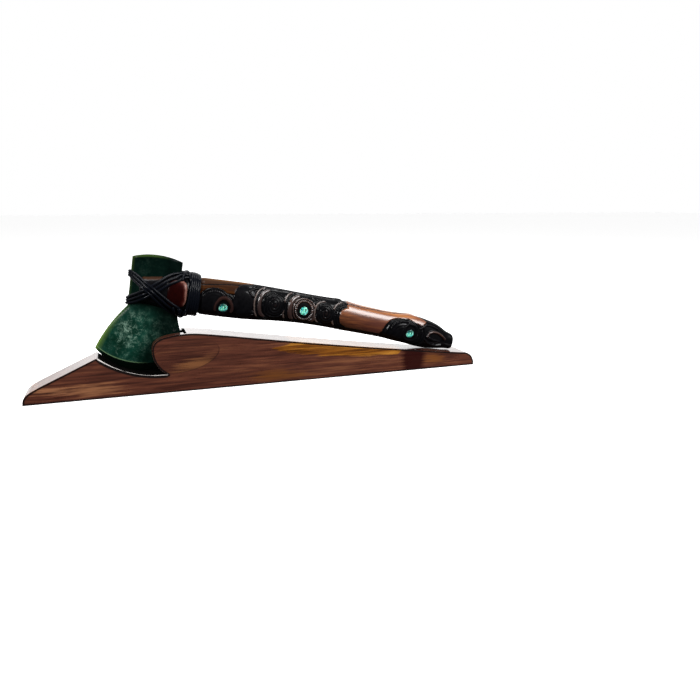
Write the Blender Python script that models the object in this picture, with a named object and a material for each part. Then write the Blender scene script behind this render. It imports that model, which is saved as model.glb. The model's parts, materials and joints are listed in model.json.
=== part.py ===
"""A hafted greenstone blade on its wooden stand.

The blade stands on its curved cutting edge in the hollow of the stand, its rear corner in a
sawn slot. A carved haft with a forked head grips the blade, a cord binds the fork and crosses
over both cheeks, and the far end of the haft rests on the low tail of the stand.
Everything is in metres, +Z up, the stand's length along X and its thickness along Y, with the
origin under the middle of the stand.
"""
import math

import bmesh
import bpy
from mathutils import Matrix, Vector

# Clearance left between two pieces that touch
GAP = 0.0003

# Stand: a board, its side outline measured from the nose along the underside
STAND_LENGTH = 0.460
STAND_THICKNESS = 0.032
NOSE_LENGTH = 0.0187
NOSE_HEIGHT = 0.0176
NOSE_FULLNESS = 1.8
LIP_AT = 0.0645
SEAT_RADIUS = 0.0948
SEAT_CENTRE_AT = 0.1240
SEAT_FLOOR = 0.0175
LOBE_FRONT_AT = 0.1141
LOBE_FRONT_HEIGHT = 0.0412
LOBE_UNDERCUT = (0.0239, 0.0260)
LOBE_TOP_AT = 0.150
LOBE_TOP_HEIGHT = 0.0563
LOBE_FULLNESS = 1.2
SHOULDER_ROUNDING = 0.012
TOP_HOLLOW = 0.002
TAIL_HEIGHT = 0.015
TAIL_RADIUS = 0.013
EDGE_EASE = 0.0007
SLOT_PLAY = 0.0004
SLOT_END_AT = 0.1465

# Blade: a flat ground stone, flared to a curved edge that is set forward of its middle
BLADE_LENGTH = 0.1116
BLADE_THICKNESS = 0.012
POLL_WIDTH = 0.0456
POLL_DOME = 0.0038
POLL_THICKNESS = 0.0096
POLL_ARRIS = 0.0016
POLL_STANDS = 0.0335
WAIST_WIDTH = 0.0463
WAIST_BELOW = 0.0165
REAR_WAIST_BELOW = 0.0225
FRONT_FLARE_SHARE = 0.42
EDGE_RADIUS = 0.0549
EDGE_WIDTH = 0.0820
EDGE_FORWARD = 0.0070
BEVEL_WIDTH = 0.0075
EDGE_THICKNESS = 0.0009
SHOULDER_THICKNESS = 0.0079
THICKEST_SHARE = 0.55
THINNING_SHARE = 0.60
POLL_ROUNDING_SHARE = 0.98
FRONT_BEVEL_SHARE = 0.35
BEVEL_FADING_POWER = 4
BEVEL_HOLLOW_POWER = 0.8
EDGE_FADING_POWER = 1.6
BODY_START_SHARE = 0.16
BODY_END_SHARE = 0.93
LENS_FLATNESS_POWER = 3
LENS_ROUNDNESS_POWER = 0.6
SEAT_LEAN = math.radians(20)

# Haft: measured from the front of its forked head, with its form given as shares
HAFT_LENGTH = 0.3405
HAFT_HEIGHT = 0.036
HAFT_THICKNESS = 0.029
HEAD_SETBACK = 0.0085
HEAD_ROUNDING = 0.0045
TAIL_ROUNDING = 0.0045
SECTION_POWER = 2.3
END_FLATTENING = 0.7
# share of length, rise of the middle / height, height / height, thickness / thickness
HAFT_FORM = (
    (0.000, 0.010, 0.68, 0.97),
    (0.061, 0.000, 0.87, 0.98),
    (0.107, 0.008, 1.00, 1.00),
    (0.126, 0.010, 1.00, 0.99),
    (0.136, 0.003, 0.925, 0.90),
    (0.161, 0.003, 0.925, 0.90),
    (0.173, 0.000, 0.985, 0.99),
    (0.296, -0.006, 1.00, 1.00),
    (0.390, -0.004, 0.92, 0.93),
    (0.466, -0.022, 0.865, 0.87),
    (0.545, -0.054, 0.865, 0.87),
    (0.595, -0.080, 0.895, 0.90),
    (0.647, -0.137, 0.846, 0.85),
    (0.735, -0.211, 0.822, 0.85),
    (0.788, -0.255, 0.872, 0.88),
    (0.824, -0.268, 0.922, 0.91),
    (0.861, -0.313, 0.942, 0.89),
    (0.898, -0.363, 0.903, 0.84),
    (0.937, -0.413, 0.774, 0.72),
    (0.971, -0.482, 0.576, 0.58),
    (1.000, -0.545, 0.460, 0.50),
)
BINDING_START_SHARE = 0.1325
BINDING_END_SHARE = 0.1655
AROUND = 26
FACET = 0.0029
# Where the spacing of the haft's rings changes, as (share of length, facets to a step)
RING_SPACING = (
    (0.000, 0.70),
    (0.014, 2.10),
    (0.115, 1.10),
    (0.168, 1.00),
    (0.250, 0.94),
    (0.612, 2.80),
    (0.735, 1.00),
    (1.000, 1.00),
)

# The haft's own frame: u along it from the middle of the blade's poll, v up across it
EDGE_BELOW = BLADE_LENGTH - POLL_STANDS - EDGE_RADIUS
HAFT_FRONT = HEAD_SETBACK - WAIST_WIDTH / 2

# Shell eyes, three on each side, placed as the carving is
EYE_RADIUS = 0.0044
EYE_THICKNESS = 0.0016
EYE_CROWN = 0.0004
EYE_FLAT_SHARE = 0.8
EYE_SUNK = 0.0007
SOCKET_RADIUS = 0.0066
SOCKET_FLARE = 0.0008
SOCKET_DEPTH = 0.0012
EYES = ((0.2305, -0.188), (0.4696, -0.025), (0.8279, -0.098))

# Carving: depth of the cut ground, and the height of what stands up from it
CARVE_DEPTH = 0.0011
FORM_RISE = 0.0013
RIDGE_RISE = 0.0012
EYE_RING_RADIUS = 0.0084
EYE_RING_WIDTH = 0.0026
CARVED_TO_DEGREES = -72
CARVED_FULLY_TO_DEGREES = -56
# Centres are (share of haft length, height round the side / haft height), radii / haft height
HEAD_DISC = ((0.2031, -0.167), 0.444)
LOBE_BACK = ((0.3162, 0.056), 0.565)
LOBE_START_SHARE = 0.2500
LOBE_END_SHARE = 0.3155
FIRST_SPIRAL = ((0.3774, 0.017), 0.270)
SECOND_SPIRAL = ((0.5372, -0.018), 0.250)
PLAIN_FRONT = ((0.607, -0.028), 0.236)
END_DISC = ((0.8037, -0.328), 0.640)
TAIL_CARVED_SHARE = 0.87
TAIL_PLAIN_SHARE = 0.03
# Ridges that bow round a centre: centre, radius, half width, and the shares that they run between
RIDGES = (
    (FIRST_SPIRAL[0], 0.425, 0.055, LOBE_END_SHARE, FIRST_SPIRAL[0][0]),
    (FIRST_SPIRAL[0], 0.565, 0.055, LOBE_END_SHARE, FIRST_SPIRAL[0][0]),
    (EYES[1], 0.425, 0.075, FIRST_SPIRAL[0][0], EYES[1][0]),
    (EYES[1], 0.610, 0.075, FIRST_SPIRAL[0][0], EYES[1][0]),
    (SECOND_SPIRAL[0], 0.330, 0.055, EYES[1][0], SECOND_SPIRAL[0][0]),
    (PLAIN_FRONT[0], 0.450, 0.055, SECOND_SPIRAL[0][0], PLAIN_FRONT[0][0]),
    (EYES[2], 0.420, 0.070, EYES[2][0], 1.0),
    (EYES[2], 0.620, 0.070, EYES[2][0], 1.0),
)

# Cord: one length laid in turns and in bands of strands side by side
CORD = 0.0025
STRANDS = 3
STRAND_SPREAD = 1.08
RIB_WIDTH_SHARE = 0.80
RIB_FOOT_SHARE = 0.42
BAND_BACK_SHARE = 0.60
BAND_LIFT = 0.0012
RING_STEP_SHARE = 1.3
LOOK_SHARE = 0.03
BINDING_RISE = 0.0020
RISE_POWER = 4
FALLING_START = 0.0138
RISING_START = -0.0117
# Where the bands cross, along and up from the poll's middle / haft height
CROSSING = (-0.119, 0.028)
# Where each band turns under or over the head: distance before the neck / haft height, then
# height / half the haft's height there; its end lies in the binding
FALLING_TURNS = ((0.458, -0.66), (0.236, -0.87), (-0.079, -0.90))
RISING_TURNS = ((0.500, 0.72), (0.278, 0.87), (-0.079, 0.90))

# Finishes: colour and roughness
POLISHED_WOOD = ((0.105, 0.036, 0.018, 1.0), 0.28)
HAFT_WOOD = ((0.120, 0.038, 0.020, 1.0), 0.30)
GREENSTONE = ((0.010, 0.055, 0.030, 1.0), 0.25)
BLACK_CORD = ((0.010, 0.011, 0.014, 1.0), 0.60)
SHELL = ((0.130, 0.560, 0.440, 1.0), 0.22)


def clear_scene():
    for thing in list(bpy.data.objects):
        bpy.data.objects.remove(thing, do_unlink=True)


def plain_material(name, finish):
    material = bpy.data.materials.new(name)
    material.use_nodes = True
    shader = material.node_tree.nodes["Principled BSDF"]
    shader.inputs["Base Color"].default_value = finish[0]
    shader.inputs["Roughness"].default_value = finish[1]
    shader.inputs["Metallic"].default_value = 0.0
    return material


def make_object(name, mesh_maker, finish=None, parent=None):
    """Turns a bmesh into a named object, with its faces pointing out."""
    mesh = bpy.data.meshes.new(name)
    bmesh.ops.recalc_face_normals(mesh_maker, faces=mesh_maker.faces)
    mesh_maker.to_mesh(mesh)
    mesh_maker.free()
    thing = bpy.data.objects.new(name, mesh)
    bpy.context.collection.objects.link(thing)
    if finish:
        mesh.materials.append(plain_material(name + "_finish", finish))
    thing.parent = parent
    return thing


def make_cutter(name, mesh_maker, parent=None):
    cutter = make_object(name, mesh_maker, parent=parent)
    cutter.hide_render = True
    cutter.display_type = "WIRE"
    return cutter


def add_boolean(thing, other, operation):
    modifier = thing.modifiers.new(operation.lower() + "_" + other.name, "BOOLEAN")
    modifier.operation = operation
    modifier.solver = "EXACT"
    modifier.object = other


def round_shading(thing, degrees):
    thing.data.shade_smooth()
    thing.data.set_sharp_from_angle(angle=math.radians(degrees))


def conic(start, corner, end, steps, fullness=math.sqrt(0.5)):
    """A curve that leaves start towards corner and comes into end from it, by itself round."""
    points = []
    for step in range(steps + 1):
        t = step / steps
        weights = (1 - t) ** 2, 2 * t * (1 - t) * fullness, t ** 2
        blend = [sum(w * p for w, p in zip(weights, axis)) for axis in zip(start, corner, end)]
        points.append(tuple(value / sum(weights) for value in blend))
    return points


def solve(function, low, high):
    """The value between low and high where a rising or falling function is nought."""
    rising = function(high) > function(low)
    for _ in range(60):
        middle = (low + high) / 2
        if (function(middle) > 0) == rising:
            high = middle
        else:
            low = middle
    return (low + high) / 2


def prism(outline, thickness):
    """A board of the given side outline, centred on Y = 0."""
    board = bmesh.new()
    near = [board.verts.new((x, -thickness / 2, z)) for x, z in outline]
    face = board.faces.new(near)
    grown = bmesh.ops.extrude_face_region(board, geom=[face])
    moved = [item for item in grown["geom"] if isinstance(item, bmesh.types.BMVert)]
    bmesh.ops.translate(board, verts=moved, vec=(0, thickness, 0))
    return board


def skin(rings, closed_loop=False):
    """A closed skin over rings of points: capped at both ends, or joined end to end."""
    body = bmesh.new()
    loops = [[body.verts.new(point) for point in ring] for ring in rings]
    pairs = list(zip(loops, loops[1:]))
    if closed_loop:
        pairs.append((loops[-1], loops[0]))
    for first, second in pairs:
        count = len(first)
        for i in range(count):
            j = (i + 1) % count
            body.faces.new((first[i], first[j], second[j], second[i]))
    if not closed_loop:
        body.faces.new(loops[0])
        body.faces.new(list(reversed(loops[-1])))
    return body


# Places in the stand's side plane are (along, up), along from the nose

def seat_centre():
    return SEAT_CENTRE_AT, SEAT_FLOOR + SEAT_RADIUS


def edge_centre():
    """Centre of the cutting edge's curve, so that the edge touches the seat from above."""
    along, up = seat_centre()
    reach = SEAT_RADIUS - EDGE_RADIUS - GAP
    return along - reach * math.sin(SEAT_LEAN), up - reach * math.cos(SEAT_LEAN)


def seat_height(along):
    centre_along, centre_up = seat_centre()
    return centre_up - math.sqrt(SEAT_RADIUS ** 2 - (along - centre_along) ** 2)


def stand_top(along):
    """Height of the long top line, from the lobe's top to the start of the rounded tail."""
    run = STAND_LENGTH - TAIL_RADIUS - LOBE_TOP_AT
    x = along - LOBE_TOP_AT
    ease = SHOULDER_ROUNDING
    fall = (LOBE_TOP_HEIGHT - TAIL_HEIGHT) / (math.hypot(run, ease) - ease)
    share = x / run
    return LOBE_TOP_HEIGHT - fall * (math.hypot(x, ease) - ease) - TOP_HOLLOW * 4 * share * (1 - share)


def down_to_seat(curve):
    """The points of a falling curve that lie above the seat, and the point where it meets it."""
    place = 0
    while math.dist(curve[place + 1], seat_centre()) < SEAT_RADIUS:
        place += 1
    (a, c), (b, d) = curve[place], curve[place + 1]
    share = solve(lambda t: c + (d - c) * t - seat_height(a + (b - a) * t), 0.0, 1.0)
    return curve[:place + 1], a + (b - a) * share


def stand_outline():
    lip = (LIP_AT, seat_height(LIP_AT))
    slope = (lip[1] - NOSE_HEIGHT) / (lip[0] - NOSE_LENGTH)
    nose_corner = (0.0, NOSE_HEIGHT - slope * NOSE_LENGTH)
    nose = conic((0.0, 0.0), nose_corner, (NOSE_LENGTH, NOSE_HEIGHT), 7, NOSE_FULLNESS)

    front = (LOBE_FRONT_AT, LOBE_FRONT_HEIGHT)
    reach, depth = LOBE_UNDERCUT
    under = (front[0], front[1] - depth)
    undercut, cusp_at = down_to_seat(conic(front, under, (front[0] + reach, under[1]), 12))
    top = (LOBE_TOP_AT, LOBE_TOP_HEIGHT)
    lobe = undercut[::-1] + conic(front, (front[0], top[1]), top, 9, LOBE_FULLNESS)[1:]

    seat_steps = 12
    seat = []
    for step in range(seat_steps + 1):
        along = LIP_AT + (cusp_at - LIP_AT) * step / seat_steps
        seat.append((along, seat_height(along)))

    tail_start = STAND_LENGTH - TAIL_RADIUS
    top_steps = 16
    back = []
    for step in range(1, top_steps):
        along = LOBE_TOP_AT + (tail_start - LOBE_TOP_AT) * (step / top_steps) ** 1.5
        back.append((along, stand_top(along)))
    tail_end = (STAND_LENGTH, TAIL_HEIGHT - TAIL_RADIUS)
    tail = conic((tail_start, TAIL_HEIGHT), (STAND_LENGTH, TAIL_HEIGHT), tail_end, 6)
    return nose + seat + lobe + back + tail + [(STAND_LENGTH, 0.0)]


def stand_x(along):
    return along - STAND_LENGTH / 2


def make_stand():
    outline = [(stand_x(along), up) for along, up in stand_outline()]
    stand = make_object("stand", prism(outline, STAND_THICKNESS), POLISHED_WOOD)
    ease = stand.modifiers.new("eased_edges", "BEVEL")
    ease.width = EDGE_EASE
    ease.segments = 1
    ease.limit_method = "ANGLE"
    ease.angle_limit = math.radians(40)

    centre_along, centre_up = edge_centre()
    floor_radius = EDGE_RADIUS + GAP + SLOT_PLAY
    start = LOBE_FRONT_AT - 2 * BEVEL_WIDTH
    floor_steps = 8
    floor = []
    for step in range(floor_steps + 1):
        along = start + (SLOT_END_AT - start) * step / floor_steps
        floor.append((along, centre_up - math.sqrt(floor_radius ** 2 - (along - centre_along) ** 2)))
    above = LOBE_TOP_HEIGHT + STAND_THICKNESS
    slot = [(stand_x(a), u) for a, u in floor + [(SLOT_END_AT, above), (start, above)]]
    width = BLADE_THICKNESS + 2 * SLOT_PLAY
    add_boolean(stand, make_cutter("slot_cutter", prism(slot, width)), "DIFFERENCE")
    return stand


def smooth(rows, column, share):
    """Reads one column of a table of stations along a smooth curve."""
    last = len(rows) - 1
    place = 0
    while place < last - 1 and rows[place + 1][0] < share:
        place += 1
    left, right = rows[place], rows[place + 1]
    span = right[0] - left[0]
    t = (share - left[0]) / span
    before, after = rows[max(place - 1, 0)], rows[min(place + 2, last)]
    slope_left = (right[column] - before[column]) / (right[0] - before[0])
    slope_right = (after[column] - left[column]) / (after[0] - left[0])
    rise = right[column] - left[column]
    curve = rise * (3 * t * t - 2 * t ** 3)
    curve += span * (slope_left * t * (1 - t) ** 2 - slope_right * t * t * (1 - t))
    return left[column] + curve


def end_inset(u):
    """How far the rounded ends draw the section in."""
    inset = 0.0
    ends = ((u - HAFT_FRONT, HEAD_ROUNDING), (HAFT_FRONT + HAFT_LENGTH - u, TAIL_ROUNDING))
    for distance, rounding in ends:
        if distance < rounding:
            inset = rounding - math.sqrt(rounding ** 2 - (rounding - max(distance, 0.0)) ** 2)
    return inset


def haft_section(u):
    """Middle height, half height and half thickness of the haft at u."""
    share = (u - HAFT_FRONT) / HAFT_LENGTH
    middle = smooth(HAFT_FORM, 1, share) * HAFT_HEIGHT
    inset = end_inset(u)
    half_height = smooth(HAFT_FORM, 2, share) * HAFT_HEIGHT / 2 - inset * END_FLATTENING
    half_thickness = smooth(HAFT_FORM, 3, share) * HAFT_THICKNESS / 2 - inset
    return middle, half_height, half_thickness


def signed_power(value, power):
    return math.copysign(abs(value) ** power, value)


def rounded_section(turn, half_height, half_thickness):
    """A place on the haft's outline and the way it faces; turn is 0 at the near side, then up."""
    across = signed_power(math.cos(turn), 2 / SECTION_POWER)
    upward = signed_power(math.sin(turn), 2 / SECTION_POWER)
    facing_y = -signed_power(across, SECTION_POWER - 1) / half_thickness
    facing_v = signed_power(upward, SECTION_POWER - 1) / half_height
    facing = Vector((0.0, facing_y, facing_v)).normalized()
    return Vector((0.0, -across * half_thickness, upward * half_height)), facing


def haft_point(u, turn, lift=0.0):
    """A point of the haft's skin, lifted off it."""
    middle, half_height, half_thickness = haft_section(u)
    place, facing = rounded_section(turn, half_height, half_thickness)
    return Vector((u, 0.0, middle)) + place + facing * lift


def to_stand_plane(u, v, lean):
    """Turns a place in the haft's frame into (along, up), for a haft that falls by lean."""
    centre_along, centre_up = edge_centre()
    du, dv = u + EDGE_FORWARD, v + EDGE_BELOW
    along = centre_along + math.cos(lean) * du + math.sin(lean) * dv
    up = centre_up - math.sin(lean) * du + math.cos(lean) * dv
    return along, up


def haft_lean():
    """The fall of the haft that lets the underside of its end rest on the stand's top."""
    def clearance(lean):
        least = HAFT_LENGTH
        steps = 120
        for step in range(steps):
            u = HAFT_FRONT + HAFT_LENGTH * (0.5 + 0.5 * step / steps)
            middle, half_height, _ = haft_section(u)
            along, up = to_stand_plane(u, middle - half_height, lean)
            if along < STAND_LENGTH - TAIL_RADIUS:
                least = min(least, up - stand_top(along))
        return least - GAP

    return solve(clearance, 0.0, math.radians(25))


def edge_sag(x):
    """Depth of the cutting edge below its corners; x runs from -1 to 1 between them."""
    half = EDGE_WIDTH / 2
    return math.sqrt(EDGE_RADIUS ** 2 - (x * half) ** 2) - math.sqrt(EDGE_RADIUS ** 2 - half ** 2)


def blade_side(v, side):
    """Distance of the blade's side from u = 0; side is -1 at the front and 1 at the rear."""
    waist_v = -(WAIST_BELOW if side < 0 else REAR_WAIST_BELOW)
    if v >= waist_v:
        share = (v - waist_v) / (POLL_STANDS - POLL_DOME - waist_v)
        return (WAIST_WIDTH + (POLL_WIDTH - WAIST_WIDTH) * share) / 2
    corner_v = -EDGE_BELOW - EDGE_RADIUS + edge_sag(0.0)
    share = (waist_v - v) / (waist_v - corner_v)
    spring = FRONT_FLARE_SHARE if side < 0 else 0.0
    reach = (EDGE_WIDTH - WAIST_WIDTH) / 2 - side * EDGE_FORWARD
    return WAIST_WIDTH / 2 + reach * share * (1 + spring * (1 - share))


def blade_thickness(share):
    """Thickness of the blade's middle at a share of the way from its edge to its poll."""
    bevel = BEVEL_WIDTH / (BLADE_LENGTH - POLL_DOME)
    if share <= bevel:
        grown = (share / bevel) ** BEVEL_HOLLOW_POWER
        return EDGE_THICKNESS + (SHOULDER_THICKNESS - EDGE_THICKNESS) * grown
    body = (share - bevel) / (1 - bevel)
    swell = math.sin(min(body / THICKEST_SHARE, 1.0) * math.pi / 2)
    thinning = max(0.0, (body - THINNING_SHARE) / (1 - THINNING_SHARE)) ** 2
    rounding = max(0.0, (share - POLL_ROUNDING_SHARE) / (1 - POLL_ROUNDING_SHARE))
    thickness = SHOULDER_THICKNESS + (BLADE_THICKNESS - SHOULDER_THICKNESS) * swell
    return thickness - (BLADE_THICKNESS - POLL_THICKNESS) * thinning - POLL_ARRIS * rounding


def lens(x):
    """Share of the blade's thickness at x, which runs from -1 to 1 between its thin sides."""
    return (1 - abs(x) ** LENS_FLATNESS_POWER) ** LENS_ROUNDNESS_POWER


def bevel_level(share, x):
    """Share of the blade's height for a section's point, as the bevel narrows to the front."""
    bevel = BEVEL_WIDTH / (BLADE_LENGTH - POLL_DOME)
    width = bevel * (1 - (1 - FRONT_BEVEL_SHARE) * ((1 - x) / 2) ** BEVEL_FADING_POWER)
    if share <= bevel:
        return share * width / bevel
    return width + (share - bevel) * (1 - width) / (1 - bevel)


def blade_ring(share, grow):
    """A section of the blade at a share of the way from edge to poll, grown by a clearance."""
    corner_v = -EDGE_BELOW - EDGE_RADIUS + edge_sag(0.0)
    steps = 10
    near = []
    for step in range(steps + 1):
        x = -math.cos(math.pi * step / steps)
        level = bevel_level(share, x)
        side_v = corner_v + (POLL_STANDS - POLL_DOME - corner_v) * level
        front, rear = -blade_side(side_v, -1) - grow, blade_side(side_v, 1) + grow
        u = (front + rear) / 2 + x * (rear - front) / 2
        v = side_v - edge_sag(x) * (1 - level) ** EDGE_FADING_POWER + POLL_DOME * (1 - x * x) * level ** 3
        if share == 0.0:
            v -= grow
        half = max(blade_thickness(share) * lens(x), EDGE_THICKNESS) / 2 + grow
        near.append((u, -half, v))
    return near + [(u, -y, v) for u, y, v in reversed(near)]


def blade_rings(grow):
    """Sections of the blade from edge to poll, close together on the bevel and at the poll."""
    bevel = BEVEL_WIDTH / (BLADE_LENGTH - POLL_DOME)
    body_steps = 9
    body = BODY_END_SHARE - BODY_START_SHARE
    shares = [0.0, bevel / 2, bevel, (bevel + BODY_START_SHARE) / 2]
    shares += [BODY_START_SHARE + body * step / body_steps for step in range(body_steps + 1)]
    shares += [(1 + 3 * POLL_ROUNDING_SHARE) / 4, 1.0]
    return [blade_ring(share, grow) for share in shares]


def make_blade(frame):
    blade = make_object("blade", skin(blade_rings(0.0)), GREENSTONE, frame)
    round_shading(blade, 35)
    return blade


def boss(distance, radius):
    """Rise of a low dome."""
    return FORM_RISE * math.sqrt(max(1 - (distance / radius) ** 2, 0.0))


def ridge(distance, radius, half_width):
    """Rise of a rounded ridge that follows a circle."""
    off = abs(distance - radius) / half_width
    return RIDGE_RISE * math.cos(off * math.pi / 2) if off < 1 else 0.0


def carving(u, turn):
    """Height of the carved surface against the smooth haft, the same on both sides."""
    _, half_height, half_thickness = haft_section(u)
    if math.cos(turn) < 0:
        turn = math.pi - turn
    if turn > math.pi:
        turn -= 2 * math.pi
    share = (u - HAFT_FRONT) / HAFT_LENGTH
    w = turn * (half_height + half_thickness) / 2

    def away(centre):
        return math.hypot((share - centre[0]) * HAFT_LENGTH, w - centre[1] * HAFT_HEIGHT)

    def within(disc):
        return away(disc[0]) < disc[1] * HAFT_HEIGHT

    on_lobe = LOBE_START_SHARE < share < LOBE_END_SHARE and within(LOBE_BACK)
    on_spirals = LOBE_END_SHARE <= share < PLAIN_FRONT[0][0] and not within(PLAIN_FRONT)
    on_end = within(END_DISC) or share > TAIL_CARVED_SHARE
    if not (within(HEAD_DISC) or on_lobe or on_spirals or on_end):
        return 0.0

    forms = [boss(away(centre), radius * HAFT_HEIGHT)
             for centre, radius in (HEAD_DISC, FIRST_SPIRAL, SECOND_SPIRAL, END_DISC)]
    if on_lobe:
        bulge = math.sin((share - LOBE_START_SHARE) / (LOBE_END_SHARE - LOBE_START_SHARE) * math.pi)
        forms.append(FORM_RISE * bulge ** 0.6)
    for centre, radius, half_width, start, stop in RIDGES:
        if start < share < stop:
            forms.append(ridge(away(centre), radius * HAFT_HEIGHT, half_width * HAFT_HEIGHT))
    form = max(forms)
    for centre in EYES:
        distance = away(centre)
        ring = ridge(distance, EYE_RING_RADIUS, EYE_RING_WIDTH)
        if distance < EYE_RING_RADIUS:
            form = ring
        elif distance < EYE_RING_RADIUS + EYE_RING_WIDTH:
            form = max(form / 2, ring)
    reach = (math.degrees(turn) - CARVED_TO_DEGREES) / (CARVED_FULLY_TO_DEGREES - CARVED_TO_DEGREES)
    ending = (1 - share) / TAIL_PLAIN_SHARE
    return (form - CARVE_DEPTH) * min(max(reach, 0.0), 1.0) * min(ending, 1.0)


def haft_stations():
    """Places along the haft for its rings of points, close together where it is carved."""
    stations = []
    for (start, facets), (stop, _) in zip(RING_SPACING, RING_SPACING[1:]):
        length = (stop - start) * HAFT_LENGTH
        count = max(1, round(length / (facets * FACET)))
        stations += [HAFT_FRONT + start * HAFT_LENGTH + length * i / count for i in range(count)]
    return stations + [HAFT_FRONT + HAFT_LENGTH]


def eye_axis(share, height, side):
    """Point of the smooth haft over an eye and the direction that it looks in."""
    u = HAFT_FRONT + share * HAFT_LENGTH
    _, half_height, half_thickness = haft_section(u)
    turn = 2 * height * HAFT_HEIGHT / (half_height + half_thickness)
    point = haft_point(u, turn)
    outward = rounded_section(turn, half_height, half_thickness)[1]
    if side > 0:
        point.y, outward.y = -point.y, -outward.y
    return point, outward


def turned(profile, sides):
    """A closed turned body on the Z axis from (radius, height) pairs, bottom to top."""
    rings = []
    for radius, height in profile:
        angles = [2 * math.pi * i / sides for i in range(sides)]
        rings.append([(radius * math.cos(a), radius * math.sin(a), height) for a in angles])
    return skin(rings)


def place_on_axis(thing, point, outward):
    turn = Vector((0, 0, 1)).rotation_difference(outward)
    thing.matrix_local = Matrix.Translation(point) @ turn.to_matrix().to_4x4()


def make_haft(frame, blade_space):
    rings = []
    for u in haft_stations():
        turns = [2 * math.pi * i / AROUND for i in range(AROUND)]
        rings.append([haft_point(u, turn, carving(u, turn)) for turn in turns])
    haft = make_object("haft", skin(rings), HAFT_WOOD, frame)
    round_shading(haft, 50)
    add_boolean(haft, blade_space, "DIFFERENCE")
    return haft


def make_eyes(frame, haft):
    """Sockets and shell discs, three on each side of the haft."""
    sides = 12
    floor = -SOCKET_DEPTH - EYE_THICKNESS
    above = 3 * FORM_RISE
    hole_profile = ((EYE_RADIUS + GAP, floor - GAP), (EYE_RADIUS + GAP, -SOCKET_DEPTH - EYE_SUNK),
                    (SOCKET_RADIUS, -SOCKET_DEPTH), (SOCKET_RADIUS + SOCKET_FLARE, above))
    disc_profile = ((EYE_RADIUS, floor), (EYE_RADIUS, -SOCKET_DEPTH - EYE_CROWN / 2),
                    (EYE_RADIUS * EYE_FLAT_SHARE, -SOCKET_DEPTH + EYE_CROWN / 2))
    for number, (share, height) in enumerate(EYES, 1):
        for label, side in (("near", -1), ("far", 1)):
            point, outward = eye_axis(share, height, side)
            hole = turned(hole_profile, sides)
            cutter = make_cutter("socket_%d_%s" % (number, label), hole, frame)
            place_on_axis(cutter, point, outward)
            add_boolean(haft, cutter, "DIFFERENCE")
            disc = turned(disc_profile, sides)
            eye = make_object("eye_%d_%s" % (number, label), disc, SHELL, frame)
            round_shading(eye, 30)
            place_on_axis(eye, point, outward)


# Lashing: each crossing band is drawn tight over the blade's front and both cheeks

def head_half_thickness(u, v):
    """Outer surface of the forked head or, in front of it, of the blade."""
    outer = 0.0
    if abs(u) <= WAIST_WIDTH / 2:
        outer = lens(2 * u / WAIST_WIDTH) * BLADE_THICKNESS / 2
    if u > HAFT_FRONT:
        middle, half_height, half_thickness = haft_section(u)
        share = abs(v - middle) / half_height
        if share < 1:
            outer = max(outer, half_thickness * (1 - share ** SECTION_POWER) ** (1 / SECTION_POWER))
    return outer


def route_point(route, t):
    """A place on the side view of a band, t running evenly from its first point to its last."""
    lengths = [math.dist(a, b) for a, b in zip(route, route[1:])]
    remaining = t * sum(lengths)
    place = 0
    while place < len(lengths) - 1 and remaining > lengths[place]:
        remaining -= lengths[place]
        place += 1
    share = min(remaining / lengths[place], 1.0)
    first, second = route[place], route[place + 1]
    return tuple(a + (b - a) * share for a, b in zip(first, second))


def tight_line(points):
    """The taut upper line over a row of (distance, height) points."""
    hull = []
    for point in points:
        while len(hull) > 1:
            (ax, ay), (bx, by) = hull[-2], hull[-1]
            if (bx - ax) * (point[1] - ay) - (by - ay) * (point[0] - ax) < 0:
                break
            hull.pop()
        hull.append(point)
    return hull


def haft_facing(u, v):
    """Direction that the near side of the haft faces at a place in its side view."""
    middle, half_height, half_thickness = haft_section(u)
    upward = max(-1.0, min(1.0, (v - middle) / half_height))
    across = (1 - abs(upward) ** SECTION_POWER) ** (1 / SECTION_POWER)
    out_y = across ** (SECTION_POWER - 1) / half_thickness
    out_v = signed_power(upward, SECTION_POWER - 1) / half_height
    if u < HAFT_FRONT + HEAD_ROUNDING:
        out_v = 0.0
    return Vector((0.0, -out_y, out_v * upward ** 2)).normalized()


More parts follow.
